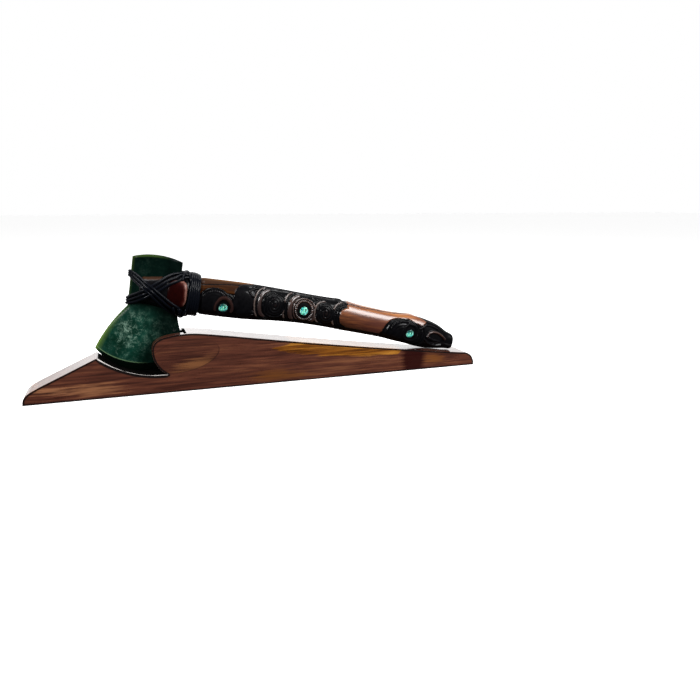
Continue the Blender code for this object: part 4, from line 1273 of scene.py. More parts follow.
# Rows of notches along the top: height round the side, half width, notch pitch
TOP_ROWS = ((17.4, 0.7, 0.0), (19.6, 1.2, 2.0), (21.8, 0.7, 0.0), (24.4, 1.4, 2.4))
TOP_CARVED = (82.0, 186.0)
# Fine grooves that mark the arris between the side and the top of the plain stretches, painted
# black in them as shade
GROOVES = (((42.0, 11.6), (48.9, 12.7), (57.5, 14.1), (68.6, 15.8), (79.0, 16.6)),
           ((193.0, 13.4), (197.8, 14.0), (218.5, 14.9), (245.0, 16.1), (255.0, 18.8),
            (263.0, 22.9)))
# Where the black of the tail's head begins: it reaches up to these heights
TAIL_EDGE = ((232.0, -30.0), (233.3, -7.0), (236.0, -0.6), (241.6, 5.3), (248.0, 8.8),
             (254.0, 10.4), (263.0, 10.8), (273.0, 7.2), (280.0, 5.7), (284.2, 9.0),
             (287.0, 14.0), (289.0, 30.0))
TAIL_TOP_FROM = 264.0
TAIL_TOP_EDGE = ((TAIL_TOP_FROM, 40.0), (268.0, 27.0), (270.3, 19.6), (283.2, 13.9), (287.0, 11.0))
CUT_DEPTH = 1.15
print(len(LINES), "bent ridges and", len(SPIRALS), "spirals")

# %% [markdown]
# ## The cut ground
# Round the forms the wood is cut down by about a millimetre and stained black. The rest is left
# plain. The field's edge is made of discs and lines, and each part of it gives 1 inside, 0 outside.

# %% The cut ground and its broad forms
def below_line(u, w, line, soft):
    return soft_step(np.interp(u, *np.array(line).T) - w, soft)


def carved_ground(u, w):
    """The parts of the cut ground, each 1 inside: front disc, lobe, middle and tail's head."""
    disc = soft_step(16.0 - away_from(u, w, HEAD))
    between = soft_step(u - 60.0) * soft_step(93.0 - u) * soft_step(5.5 - w, 1.5)
    lobe = soft_step(20.5 - away_from(u, w, LOBE)) * soft_step(92.0 - u)
    plain = soft_step(8.5 - away_from(u, w, PLAIN))
    middle = soft_step(u - 92.2) * soft_step(192.0 - u) * (1 - plain)
    tail = below_line(u, w, TAIL_EDGE, 0.8)
    tail_top = (1 - below_line(u, w, TAIL_TOP_EDGE, 0.5)) * soft_step(u - TAIL_TOP_FROM)
    return np.maximum(disc, between), lobe, middle, np.maximum(tail, tail_top)


def broad_forms(u, w, disc, lobe, tail):
    """The swelling of the front disc, the lobe and the tail's head, in millimetres."""
    return np.maximum.reduce((
        1.2 * rounded(away_from(u, w, HEAD), 16.0) * disc,
        1.35 * np.sin(np.clip((u - 71.0) / 21.5, 0, 1) * np.pi) ** 0.5 * lobe,
        0.9 * rounded(away_from(u, w, TAIL_HEAD), 22.5) * tail))


print("cut at the middle of the spiral:", carved_ground(SPIRAL[0], SPIRAL[1])[2])

# %% [markdown]
# ## Ridges, spirals and rows
# Each ridge stands over what was there where it is higher, as if glued on: the greater of two
# heights is a clean join. The ridges' tops were rubbed bare when the haft was polished, and that
# goes with each ridge as a second number. Above 1 the same number paints a pale line of highlight
# on the crest of a thin ridge.

# %% Raise the ridges
def raised_over(form, bare_and_highlight, ridge, bare_wood_and_highlight):
    """A ridge stands over the form where it is higher, with its share of rubbed wood and highlight.
    """
    hidden = ridge <= form
    return np.where(hidden, form, ridge), np.where(hidden, bare_and_highlight, bare_wood_and_highlight)


def add_ridges(u, w, form, bare_and_highlight):
    for centre, *ridges in ARCS:
        distance, angle = away_from(u, w, centre), angle_of(u, w, centre)
        for radius, half_width, height, start, stop, pitch, bare_wood_and_highlight in ridges:
            ridge = height * rounded(distance - radius, half_width)
            ridge = ridge * within_angles(angle, start, stop)
            ridge = ridge * notches(np.radians(angle) * radius, pitch)
            on_top = soft_step(ridge - 0.25 * height, 0.3 * height)
            form, bare_and_highlight = raised_over(form, bare_and_highlight, ridge, bare_wood_and_highlight * on_top)
    for half_width, height, bare_wood_and_highlight, points in LINES:
        ridge = height * rounded(line_distance(u, w, points), half_width)
        form, bare_and_highlight = raised_over(form, bare_and_highlight, ridge, bare_wood_and_highlight)
    return form, bare_and_highlight


flat = np.zeros(1)
print("ridge 15.6 mm in front of the spiral's middle:",
      add_ridges(flat + SPIRAL[0] - 15.6, flat + SPIRAL[1], flat, flat)[0], "mm")

# %% Spirals, notched rows and the whole carving
EYE_CLEARING = 7.0


def add_spirals(u, w, form, bare_and_highlight):
    for centre, outer, pitch, height in SPIRALS:
        distance = away_from(u, w, centre)
        wind = (distance / pitch - angle_of(u, w, centre) / 360) % 1.0
        ridge = height * (0.45 + 0.55 * rounded(wind - 0.5, 0.42)) * rounded(distance, outer + 1.5)
        middle = height * 1.05 * rounded(distance, 1.9)
        inside = distance < outer
        form = np.where(inside, np.maximum(ridge, middle), form)
        bare_and_highlight = np.where(inside, 0.0, bare_and_highlight)
    return form, bare_and_highlight


def add_top_rows(u, w, form, ground):
    on_top = soft_step(u - TOP_CARVED[0]) * soft_step(TOP_CARVED[1] - u) * soft_step(w - 15.8)
    for row, half_width, pitch in TOP_ROWS:
        ridge = 1.25 * rounded(w - row, half_width) * notches(u, pitch, 0.75)
        form = np.maximum(form, ridge * on_top * ground)
    return form


def carving(u, w):
    """Height over the cut ground in mm, the cut ground's share, and that of rubbed wood and
    highlight.
    """
    disc, lobe, middle, tail = carved_ground(u, w)
    form = broad_forms(u, w, disc, lobe, tail)
    form, bare_and_highlight = add_ridges(u, w, form, np.zeros_like(form))
    form, bare_and_highlight = add_spirals(u, w, form, bare_and_highlight)
    form = add_top_rows(u, w, form, np.maximum(middle, lobe))
    for eye in EYES:
        distance = away_from(u, w, eye)
        cleared = form * soft_step(distance - EYE_CLEARING + 0.2)
        form = np.where(distance < EYE_CLEARING, cleared, form)
    return form, np.maximum.reduce((disc, lobe, middle, tail)), bare_and_highlight


print("form on the middle eye's ring:",
      carving(flat + EYES[1][0] + 8.6, flat + EYES[1][1])[0].round(2), "mm")

# %% [markdown]
# ## The cheek
# In front of the binding the fork's cheek is black, with three brown figures: a strip above the
# crossing of the cord, a thin line below it and a low squarish boss behind it. The boss swells by
# a millimetre and has a shallow ditch round it. Towards its back and upper rim it is painted a
# lighter pink, as a highlight on its swell.

# %% The cheek's figures
CHEEK_STRIP = ((-11.2, 14.8), (-3.0, 14.9), (2.5, 15.3))
CHEEK_LOW_LINE = ((-13.5, -14.6), (-3.0, -15.4), (5.0, -16.4))
BOSS_MIDDLE = (19.4, 0.6)
BOSS_HALF_SIZES = (9.0, 12.6)
CHEEK_END = 36.0


def cheek(u, w):
    """Height, black share and the boss's painted rim highlight on the cheek, before the binding."""
    across, up = ((place - middle) / half for place, middle, half
                  in zip((u, w), BOSS_MIDDLE, BOSS_HALF_SIZES))
    off = (np.abs(across) ** 3 + np.abs(up) ** 3) ** (1 / 3)
    boss = soft_step(1 - off, 0.10)
    strip = soft_step(3.4 - line_distance(u, w, CHEEK_STRIP), 1.0)
    low_line = soft_step(0.9 - line_distance(u, w, CHEEK_LOW_LINE), 0.6)
    there = soft_step(CHEEK_END - u)
    height = 1.1 * rounded(off, 1.0) - 0.5 * rounded(off - 1.03, 0.08)
    # Painted highlight: lighter towards the boss's back and upper rim.
    towards_back = np.clip(across + 0.5 * up + 0.1, 0.0, 1.0)
    painted_rim_highlight = 0.15 + 0.85 * np.clip((off - 0.45) / 0.45, 0.0, 1.0) * towards_back
    shown = np.maximum.reduce((boss, strip, low_line))
    return height * there, there * (1 - shown), boss * painted_rim_highlight * there


print("the boss stands", cheek(*BOSS_MIDDLE)[0], "mm high")

# %% [markdown]
# ## The haft's mesh
# Rings of points run the whole length, half a millimetre apart where the wood is carved and wider
# where it is plain. A subdivided block with a Displace modifier would need many more points.
# The unrolled heights lift each point off the smooth form. The sockets of the eyes are turned
# hollows square to the surface, so points inside one are pressed down to its floor.

# %% Places of the rings
POINTS_ROUND = 184


def stations():
    """Places of the haft's rings, as (start, spacing) runs in millimetres."""
    start, end = HAFT_FRONT / mm, (HAFT_FRONT + HAFT_LENGTH) / mm
    runs = ((start, 0.5), (start + 5, 0.9), (38.0, 0.54), (186.0, 1.6), (235.0, 0.56),
            (end - 5, 0.45), (end, 0))
    places = []
    for (first, spacing), (last, _) in zip(runs, runs[1:]):
        count = max(1, round((last - first) / spacing))
        places += [first + (last - first) * i / count for i in range(count)]
    return np.array(places + [end]) * mm


def side_height(u, turn):
    """The unrolled height round the side in mm, and the turn it folds to, on either side."""
    _, half_height, half_thickness = haft_section(u)
    folded = np.where(np.cos(turn) < 0, np.pi - turn, turn)
    folded = np.where(folded > np.pi, folded - 2 * np.pi, folded)
    return folded * (half_height + half_thickness) / 2 / mm, folded


print("rings:", len(stations()), "of", POINTS_ROUND, "points")

# %% Places of the eyes
def eye_axes():
    """Place and direction of each eye, as the solids have them: (label, point, outward)."""
    found = []
    for number, (share, height) in enumerate(EYE_PLACES, 1):
        u = np.float64(HAFT_FRONT + share * HAFT_LENGTH)
        _, half_height, half_thickness = haft_section(u)
        turn = 2 * height * HAFT_HEIGHT / (half_height + half_thickness)
        point, outer = haft_point(u, turn), haft_point(u, turn, 1 * mm)
        for label, mirror in (("near", 1), ("far", -1)):
            flip = np.array((1, mirror, 1))
            found.append(("%d_%s" % (number, label), point * flip, (outer - point) / mm * flip))
    return found


print("eyes:", [label for label, _, _ in eye_axes()])

# %% Press the sockets
EYE_RADIUS = 4.4 * mm
EYE_THICKNESS = 1.6 * mm
SOCKET_RADIUS = 6.6 * mm
SOCKET_DEPTH = 1.2 * mm
SOCKET_FLARE = 0.8 * mm
SOCKET_SLOPE = 6.0
FLOOR_RIM = 0.4 * mm
FLOOR_DROP = 0.5 * mm


def press_sockets(points):
    """Presses the points over each socket down to its floor and flared rim."""
    for _, place, outward in eye_axes():
        offset = points - place
        height = offset @ outward
        away = np.linalg.norm(offset - height[..., None] * outward, axis=-1)
        rim = -SOCKET_DEPTH + np.clip(away - SOCKET_RADIUS, 0.0, None) * SOCKET_SLOPE
        floor_height = np.where(away < EYE_RADIUS - FLOOR_RIM, rim - FLOOR_DROP, rim)
        near_it = (away < SOCKET_RADIUS + SOCKET_FLARE) & (height > -10 * mm)
        sink = np.where(near_it, np.clip(height - floor_height, 0.0, None), 0.0)
        points = points - sink[..., None] * outward
    return points


print("an eye's socket is", round(SOCKET_DEPTH / mm, 1), "mm deep")

# %% Lift the points
GROOVE_HALF_WIDTH = 0.9
GROOVE_DEPTH = 0.45
END_REACH = 10.0
haft_u = stations()[:, None]
haft_turn = (2 * np.pi * np.arange(POINTS_ROUND) / POINTS_ROUND)[None, :]
u_mm = haft_u / mm
w_mm, folded = side_height(haft_u, haft_turn)
degrees_up = np.degrees(folded)
form, ground, bare_and_highlight = carving(u_mm, w_mm)
cheek_form, cheek_stain, boss = cheek(u_mm, w_mm)
grooved = (1 - ground) * np.maximum.reduce(
    [rounded(line_distance(u_mm, w_mm, line), GROOVE_HALF_WIDTH) for line in GROOVES])
carved = (form - CUT_DEPTH) * ground * soft_step(degrees_up + 64, 16)
ending = np.clip((HAFT_FRONT + HAFT_LENGTH - haft_u) / (END_REACH * mm), 0.0, 1.0)
lift = (carved + cheek_form - GROOVE_DEPTH * grooved) * ending * mm
haft = skin("carved_haft", press_sockets(haft_point(haft_u, haft_turn, lift)), HAFT_FRAME)
face_outward(haft)
print("haft:", len(haft.data.polygons), "faces, carved between",
      round(float(lift.min() / mm), 2), "and", round(float(lift.max() / mm), 2), "mm")

# %% [markdown]
# ## Stain and polish on the mesh
# The haft was stained black where it is cut and on the cheek, and the tops of the ridges were then
# rubbed back to brown. Underneath and in the fine grooves the same black is painted shade, and the
# crests of a few thin ridges are painted light as highlights. The mesh keeps this as numbers for
# the finish to read, and so the colours lie exactly on the carved forms. A painted image would have
# to be fitted to them.

# %% Keep the stain and the polish
# Painted shade: the underside is made black, as shade falls there.
underside = soft_step(-degrees_up - 41, 12) * soft_step(u_mm - 38, 4)
underside = np.maximum(underside, soft_step(-degrees_up - 66, 10))
# Black on the cut ground is stain; in the fine grooves it is painted shade.
stain_and_shade = np.clip(np.maximum(ground, 0.8 * grooved) * (1 - bare_and_highlight), 0, 1)
dull_head = soft_step(94.0 - u_mm, 4)
FINISH_NUMBERS = {
    "stain_and_shade": np.maximum.reduce((stain_and_shade, underside, cheek_stain)),
    "head": dull_head,
    "gloss": (1 - dull_head * (0.94 - 0.25 * boss)) * (1 - underside),
    "level": np.sin(folded),
    "under": underside,
    "bare_and_highlight": bare_and_highlight * ground,
    "boss": boss,
    "height": carved}
for name, values in FINISH_NUMBERS.items():
    add_value(haft, name, np.broadcast_to(values, w_mm.shape))
print("numbers kept:", sorted(FINISH_NUMBERS))

# %% [markdown]
# ## The haft's brown wood
# The plain stretches are the same red-brown wood as the stand, a little more golden. They darken in
# front of the first eye, and are painted darker towards the underside as shade. A golden line is
# painted along the upper arris as a highlight, and a dull sheen is painted on the head's upper
# side. One function makes the material twice, glossy for the haft and dull for its head, because
# the wood's specular level is one plain value in each material.

# %% Shades and figures of the brown wood
def side_shades(colour, level, along_haft):
    """Darkens the head and paints shade below; lays painted sheen, golden highlight and red on
    edges.
    """
    colour = shaded(colour, ramp(along_haft, (0.36, 0.15), (0.60, 1.0)))
    # Painted shade: darker towards the underside.
    colour = shaded(colour, ramp(level, (0.18, 0.20), (0.40, 0.65), (0.60, 1.0)))
    # Painted sheen on the head's upper side.
    painted_sheen = times(ramp(level, (0.72, 0.0), (0.94, 0.7)),
                  ramp(along_haft, (0.36, 1.0), (0.40, 0.0)))
    # Painted highlight: a golden line along the top.
    painted_golden_highlight = times(ramp(level, (0.96, 0.0), (0.99, 0.6)),
                   ramp(along_haft, (0.13, 0.0), (0.17, 0.4), (0.40, 1.0)))
    low_end = times(ramp(level, (0.50, 1.0), (0.80, 0.0)),
                    ramp(along_haft, (0.74, 0.0), (0.90, 0.55)))
    for share, over in ((painted_sheen, (0.034, 0.017, 0.010)), (painted_golden_highlight, (0.19, 0.075, 0.015)),
                        (low_end, (0.050, 0.010, 0.010))):
        colour = blend(share, colour, over)
    return colour


def bared_highlights_and_boss(tree, colour, patchy):
    """Lays rubbed brown, painted highlight lines, and the boss's speckled red with its painted
    highlight.
    """
    bared_and_highlight = times(value_of(tree, "bare_and_highlight"), 0.5)
    colour = blend(ramp(bared_and_highlight, (0.1, 0.0), (0.4, 0.90)), colour, (0.020, 0.010, 0.009))
    # Painted highlight: a pale line on the crests of ridges whose share is above 1.
    colour = blend(ramp(bared_and_highlight, (0.54, 0.0), (0.68, 0.90)), colour, (0.080, 0.060, 0.053))
    on_boss = value_of(tree, "boss")
    speckled = times(scaled(patchy, 1.6, 0.2), on_boss)
    # The light pink end of the ramp is the boss's painted rim highlight.
    boss_colour_and_highlight = ramp(speckled, (0.08, (0.006, 0.0008, 0.0008)),
                       (0.30, (0.015, 0.0014, 0.0011)), (0.55, (0.038, 0.0085, 0.0065)),
                       (0.85, (0.175, 0.080, 0.062)))
    return blend(ramp(on_boss, (0.0, 0.0), (0.02, 1.0)), colour, boss_colour_and_highlight)


print("shades and figures of the brown wood are ready")

# %% The brown wood, glossy and dull
def haft_wood(name, specular, smooth):
    """The brown wood of the haft, from its grain up to its polish."""
    wood, tree, shader = new_material(name, Coat_Roughness=0.26, Specular_IOR_Level=specular)
    place = place_on_piece(tree)
    grain = use_group(tree, grain_group, {
        "Place": place, "Length": 12.0, "Width": 150.0, "Dark": (0.080, 0.019, 0.006, 1),
        "Middle": (0.180, 0.052, 0.014, 1), "Light": (0.32, 0.115, 0.030, 1)})
    along_haft = times(axes_of(place)["X"], 4.0)
    level = scaled(value_of(tree, "level"), 0.5, 0.5)
    colour = side_shades(grain["Color"], level, along_haft)
    colour = bared_highlights_and_boss(tree, colour, noise(place, 260.0))
    # Black: stain on the cut ground and the cheek, painted shade underneath and in the grooves.
    stained_and_shaded = ramp(value_of(tree, "stain_and_shade"), (0.30, 0.0), (0.60, 0.95))
    handled = handling(place, smooth, smooth + 0.12)
    relief = minus(handled["Height"], times(grain["Pores"], 0.7))
    dress(shader, Base_Color=blend(stained_and_shaded, colour, BLACK_STAIN_AND_SHADE),
          Coat_Weight=value_of(tree, "gloss"),
          Roughness=scaled(value_of(tree, "under"), 0.4, handled["Roughness"]),
          Normal=bump(relief, 0.05 * mm, 0.6))
    return wood


polished_wood = haft_wood("polished_haft", 0.18, 0.42)
dull_wood = haft_wood("dull_head", 0.0, 0.55)
print("brown wood:", len(dull_wood.node_tree.nodes), "nodes")

# %% [markdown]
# ## The black carving
# The stain is nearly black, with a low shine from handling, and the highest ridges let a little
# brown through. The same black is painted shade on the underside and in the fine grooves, and the
# underside has no shine at all. It is a material of its own, because a black that is mixed into the
# brown wood keeps the wood's stronger shine and looks grey.

# %% Black carving
BLACK_GLOSS = 0.15
black_carving, tree, shader = new_material(
    "black_carving", Coat_Roughness=0.09, Specular_IOR_Level=0.03)
place = place_on_piece(tree)
patchy = noise(place, 260.0)
colour = ramp(patchy, (0.35, (0.0012, 0.0012, 0.0016)), (0.65, (0.0028, 0.0027, 0.0034)))
worn = ramp(scaled(patchy, 0.9, value_of(tree, "height")), (0.85, 0.0), (1.0, 0.12))
handled = handling(place, 0.40, 0.55)
lit_side = minus(1.0, value_of(tree, "under"))
dress(shader, Base_Color=blend(worn, colour, (0.034, 0.014, 0.011)),
      Coat_Weight=times(lit_side, BLACK_GLOSS), Roughness=handled["Roughness"],
      Normal=bump(handled["Height"], 0.03 * mm, 0.2))
for finish in (polished_wood, black_carving, dull_wood):
    haft.data.materials.append(finish)
is_black, is_head = face_means(haft, "stain_and_shade") > 0.5, face_means(haft, "head") > 0.5
print("faces stained black:", paint_faces(haft, np.where(is_black, 1, 2 * is_head)))

# %% [markdown]
# ## Shell eyes
# Each eye is a disc of blue-green shell, let into the wood and polished to a low dome. Its colour
# comes in swirling bands of mint, turquoise and silver, with a flash of pink, under a clear gloss.
# A thin-film shader would change with the camera, so the bands are a bent wave texture instead.
# Each eye shades its own upper and lower end, as the carved rim and the dome do in the picture.

# %% The shell's finish
# How far up and down from its middle each eye's shell stays bright, in radii
SHADED_FROM = {"1": (0.45, -0.50), "2": (0.90, -0.90), "3": (0.35, -0.55)}
FADE = ((0.0, 0.0), (0.14, 0.92))


def shell_finish(label, high, low):
    """Shell for one eye: bright between two heights, dark green beyond them."""
    shell, tree, shader = new_material("blue_green_shell_" + label, Roughness=0.22,
                                       Coat_Weight=1.0, Coat_Roughness=0.03)
    place = place_on_piece(tree)
    bands = node(tree, "TexWave", {"Vector": place, "Scale": 60.0, "Distortion": 7.0,
                                   "Detail": 2.0, "Detail Scale": 1.6}).outputs["Fac"]
    drift = noise(place, 420.0, 3.0, 0.6, 1.2)
    colour = ramp(bands, (0.0, (0.10, 0.78, 0.52)), (0.35, (0.25, 0.98, 0.66)),
                  (0.6, (0.80, 1.0, 0.92)), (0.8, (0.18, 0.92, 0.76)), (1.0, (0.05, 0.58, 0.52)))
    pink_flash = ramp(drift, (0.62, 0.0), (0.74, 0.35))
    colour = blend(pink_flash, colour, (0.75, 0.60, 0.72))
    vein = ramp(noise(place, 200.0, 1.0, 0.5, 3.5), (0.43, 0.95), (0.47, 0.0))
    slant = scaled(value_of(tree, "across"), -0.25, value_of(tree, "up"))
    wavy = scaled(minus(drift, 0.5), 0.6, slant)
    above = ramp(minus(wavy, high), *FADE)
    beneath = ramp(minus(low, wavy), *FADE)
    colour = blend(greater(above, beneath, vein), colour, (0.003, 0.030, 0.030))
    dress(shader, Base_Color=colour, Metallic=ramp(bands, (0.2, 0.0), (0.7, 0.15)),
          Normal=bump(drift, 0.02 * mm, 0.4))
    return shell


print("eyes with shaded ends:", sorted(SHADED_FROM))

# %% The shell discs
DISC_SIDES = 64
DOME_HEIGHT = 0.42 * mm
# The disc's profile: share of its radius, and height over its rim's plane
RIM_PROFILE = [(1.0, -EYE_THICKNESS), (1.0, -0.35 * mm), (0.985, -0.12 * mm)]
DOME_PROFILE = [(r, DOME_HEIGHT * (1 - r * r)) for r in (0.95, 0.85, 0.7, 0.5, 0.3, 0.1)]


def shell_disc(label, point, outward):
    """A low dome with a small rounded rim, square to the haft's surface."""
    turn = 2 * np.pi * np.arange(DISC_SIDES) / DISC_SIDES
    rings = np.array([np.stack((EYE_RADIUS * r * np.cos(turn), EYE_RADIUS * r * np.sin(turn),
                                np.full(DISC_SIDES, z)), axis=-1)
                      for r, z in RIM_PROFILE + DOME_PROFILE])
    facing = Vector(outward).to_track_quat("Z", "Y").to_matrix().to_4x4()
    seated = Matrix.Translation(Vector(point) - Vector(outward) * SOCKET_DEPTH)
    disc = skin("shell_" + label, rings, HAFT_FRAME @ seated @ facing)
    add_value(disc, "across", rings[..., 0] / EYE_RADIUS)
    add_value(disc, "up", rings[..., 1] / EYE_RADIUS)
    face_outward(disc)
    disc.data.set_sharp_from_angle(angle=math.radians(50))
    disc.data.materials.append(shell_finish(label, *SHADED_FROM[label[0]]))
    return disc


shells = {label: shell_disc(label, point, outward) for label, point, outward in eye_axes()}
print("shell discs:", sorted(shells))

# %% [markdown]
# ## The cord
# A black cord, 2.5 mm thick, crosses over each cheek in two bands of three strands, rounds
# the blade's front, and then winds round the neck over the bands' ends.
# Each strand is a tube along its own line. A taut cord touches only what stands out under it, so
# the line is the tight upper line over the cheek's profile, a little rounded where it bends. A
# physics simulation could draw the cord tight too, but takes minutes and is hard to repeat.

# %% Rows of points
def distances(points):
    """Distance along a row of points from its first one."""
    steps = np.linalg.norm(np.diff(points, axis=0), axis=1)
    return np.concatenate(([0.0], np.cumsum(steps)))


def resample(points, spacing):
    """Points evenly spaced along a row of points."""
    points = np.asarray(points, float)
    reach = distances(points)
    at = np.linspace(0.0, reach[-1], max(2, int(round(reach[-1] / spacing)) + 1))
    return np.stack([np.interp(at, reach, column) for column in points.T], axis=1)


def relaxed(points, rounds):
    """Rounds the bends of a line, its ends held."""
    for _ in range(rounds):
        points[1:-1] = (points[:-2] + 2 * points[1:-1] + points[2:]) / 4
    return points


def taut(distance, height):
    """The tight line over a profile."""
    hull = []
    for point in zip(distance, height):
        while len(hull) > 1:
            (ax, ay), (bx, by) = hull[-2], hull[-1]
            if (bx - ax) * (point[1] - ay) - (by - ay) * (point[0] - ax) < 0:
                break
            hull.pop()
        hull.append(point)
    hull = np.array(hull)
    return np.interp(distance, hull[:, 0], hull[:, 1])


print("a tight line over a dip:", taut([0, 1, 2], [1.0, 0.0, 1.0]))

# %% Routes of the two bands
CORD = 2.5 * mm
BINDING = (30.47 * mm, 41.70 * mm)
CROSSING = (-4.3 * mm, 1.0 * mm)
# Routes in the side view, from the blade's front over the crossing to the binding
FALLING = ((-WAIST_WIDTH / 2, 13.8 * mm), CROSSING, (12.3 * mm, -11.6 * mm),
           (20.4 * mm, -16.4 * mm))
RISING = ((-WAIST_WIDTH / 2, -11.7 * mm), CROSSING, (10.8 * mm, 12.6 * mm),
          (18.8 * mm, 16.2 * mm))
# Strands lie side by side at the front and spread apart towards the binding: pitch / cord
FALLING_PITCH = (1.0, 1.18, 1.70)
RISING_PITCH = (1.26, 1.30, 1.45)
ROUTE_STEP = 0.8 * mm
STRAND_STEP = 0.7 * mm
CROSSING_REACH = 3.4 * mm
CROSSING_SLOPE = 2.0 * mm


def cheek_height(u, v):
    """Distance from the middle plane of what a strand lies on: the head's cheek or the blade."""
    blade_half = np.where(np.abs(u) < WAIST_WIDTH / 2,
                          lens_section(2 * u / WAIST_WIDTH) * BLADE_THICKNESS / 2, 0.0)
    middle, half_height, half_thickness = haft_section(np.maximum(u, HAFT_FRONT + 0.01 * mm))
    share = np.clip(np.abs(v - middle) / half_height, 0.0, 1.0)
    wood_half = half_thickness * (1 - share ** SECTION_POWER) ** (1 / SECTION_POWER)
    return np.maximum(blade_half, np.where(u > HAFT_FRONT, wood_half, 0.0))


print("cheek half thickness at the crossing, mm:", round(float(cheek_height(*CROSSING)) / mm, 2))

# %% [markdown]
# ## One strand
# A strand follows its band's route at its own distance to the side. The falling band lies over
# the rising one, so its strands are lifted by one cord's thickness at the crossing. At the end a
# strand dives under the binding and runs on round the neck, where the windings hold it.

# %% A strand's route and its end
def beside_route(route, pitches, number):
    """The side view of strand 0, 1 or 2 of a band, and how far its end lies to the side."""
    middle_line = relaxed(resample(route, ROUTE_STEP), 6)
    share = np.linspace(0.0, 1.0, len(middle_line))
    crossing_at = share[np.hypot(*(middle_line - CROSSING).T).argmin()]
    offset = (number - 1) * CORD * np.interp(share, (0.0, crossing_at, 1.0), pitches)
    heading = np.gradient(middle_line, axis=0)
    heading /= np.linalg.norm(heading, axis=1)[:, None]
    spread = np.stack((-heading[:, 1], heading[:, 0]), axis=1) * offset[:, None]
    spread[:, 0] *= np.clip(np.arange(len(spread)) / 4, 0, 1)
    return middle_line + spread, offset[-1]


def under_binding(u, turn, end_u, turn_end, pile):
    """The strand's end, which runs on round the neck under the windings."""
    steps = np.linspace(0.0, 1.0, 14)[1:]
    return haft_point(u + (end_u - u) * steps, turn + (turn_end - turn) * steps,
                      CORD / 2 + pile * np.sin(steps * np.pi / 2))


print("a strand's end makes its way under the binding")

# %% One whole strand
def strand_line(route, pitches, number, over, turn_end, pile):
    """Centre line of one strand, from the blade's front to inside the binding, on the near side."""
    side_view, end_offset = beside_route(route, pitches, number)
    u, v = side_view.T
    lifted = soft_step(CROSSING_REACH - away_from(u, v, CROSSING), CROSSING_SLOPE)
    height = cheek_height(u, v) + over * CORD * lifted
    height[0] = 0.2 * mm
    y = -relaxed((taut(distances(side_view), height) + CORD / 2)[:, None], 4)[:, 0]
    end_u = BINDING[0] + 5 * mm + end_offset * 0.4
    tail = under_binding(u[-1], math.atan2(v[-1], -y[-1]), end_u, turn_end, pile)
    whole = np.concatenate((np.stack((u, y, v), axis=1), tail))
    return relaxed(resample(whole, STRAND_STEP), 8)


def round_the_front(line):
    """The whole strand: far side, round the blade's front side, near side."""
    u, y, v = line[0]
    reach = CORD / 2 + EDGE_THICKNESS / 2
    arc = [(u - reach * math.sin(t) * 0.8, -reach * math.cos(t), v)
           for t in np.linspace(0.3, math.pi - 0.3, 9)]
    far = line[::-1] * np.array((1, -1, 1))
    return relaxed(resample(np.concatenate((far, arc[::-1], line)), STRAND_STEP), 4)


print("a strand runs from binding to binding round the blade's front")

# %% All six strands
# Of each band: route, pitches, lift at the crossing, and where each strand ends and how high
BANDS = ((RISING, RISING_PITCH, 0.0, (66, 76, 86), (0.4, 1.2, 2.2)),
         (FALLING, FALLING_PITCH, 1.0, (-62, -72, -82), (1.4, 1.0, 0.6)))
strands = []
for route, pitches, over, ends, piles in BANDS:
    for number, (turn, pile) in enumerate(zip(ends, piles)):
        line = strand_line(route, pitches, number, over, math.radians(turn), pile * mm)
        strands.append(round_the_front(line))
print("strands in mm:", [round(distances(strand)[-1] / mm) for strand in strands])

# %% [markdown]
# ## The binding
# The binding is one helix of five turns. Its turns lean forward under the neck, where they gather
# the ends of the bands, and they stand prouder at top and bottom because those ends lie under them.
# Below, a few loops cross in a bunch, where the cord was tied off.

# %% The binding and the bunch below it
TURNS = 5
# Loops of the bunch: from and to along the haft, rise, and side (-1 under the neck, 1 over it)
BUNCH = ((17.0, 27.0, 1.6, -1), (29.5, 20.0, 3.1, -1), (22.0, 33.0, 2.6, -1),
         (34.0, 24.0, 1.9, -1), (22.5, 31.0, 1.6, 1), (31.5, 24.5, 2.2, 1))


def binding_line():
    steps = TURNS * 60
    share = np.arange(steps + 1) / steps
    turn = math.radians(-90) + 2 * np.pi * TURNS * share
    level = np.sin(turn)
    run = BINDING[1] - BINDING[0] - CORD
    lean = 3.0 * mm * (1 - share) ** 1.5
    u = BINDING[0] + CORD / 2 + run * share - lean * (1 - level) / 2
    over_ends = np.interp(share, (0.0, 0.45, 0.75, 1.0), (2.6, 2.5, 1.7, 0.5)) * mm
    bulge = over_ends * np.clip(level, 0, 1) ** 3 + 1.0 * mm * np.clip(-level, 0, 1) ** 3
    return haft_point(u, turn, CORD * 0.5 + 0.5 * mm + bulge)


def bunch_loop(start, stop, rise, side):
    """A slanting half turn under or over the neck, from side to side."""
    share = np.linspace(0.0, 1.0, 40)
    u = (start + (stop - start) * share) * mm
    lift = CORD / 2 + rise * mm * np.sin(np.pi * share) ** 0.7
    return haft_point(u, side * np.radians(40 + 100 * share), lift)


cord_lines = strands + [binding_line()] + [bunch_loop(*loop) for loop in BUNCH]
print("binding:", round(distances(binding_line())[-1] / mm), "mm of cord")

# %% [markdown]
# ## Tubes along the lines
# A curve object with a round bevel would make tubes too, but its map can't be chosen. Here rings
# are carried along each line, and the map runs along the cord in metres and once round it. The
# braid of the finish is drawn on that map.

# %% Tubes along the lines
CORD_SIDES = 12


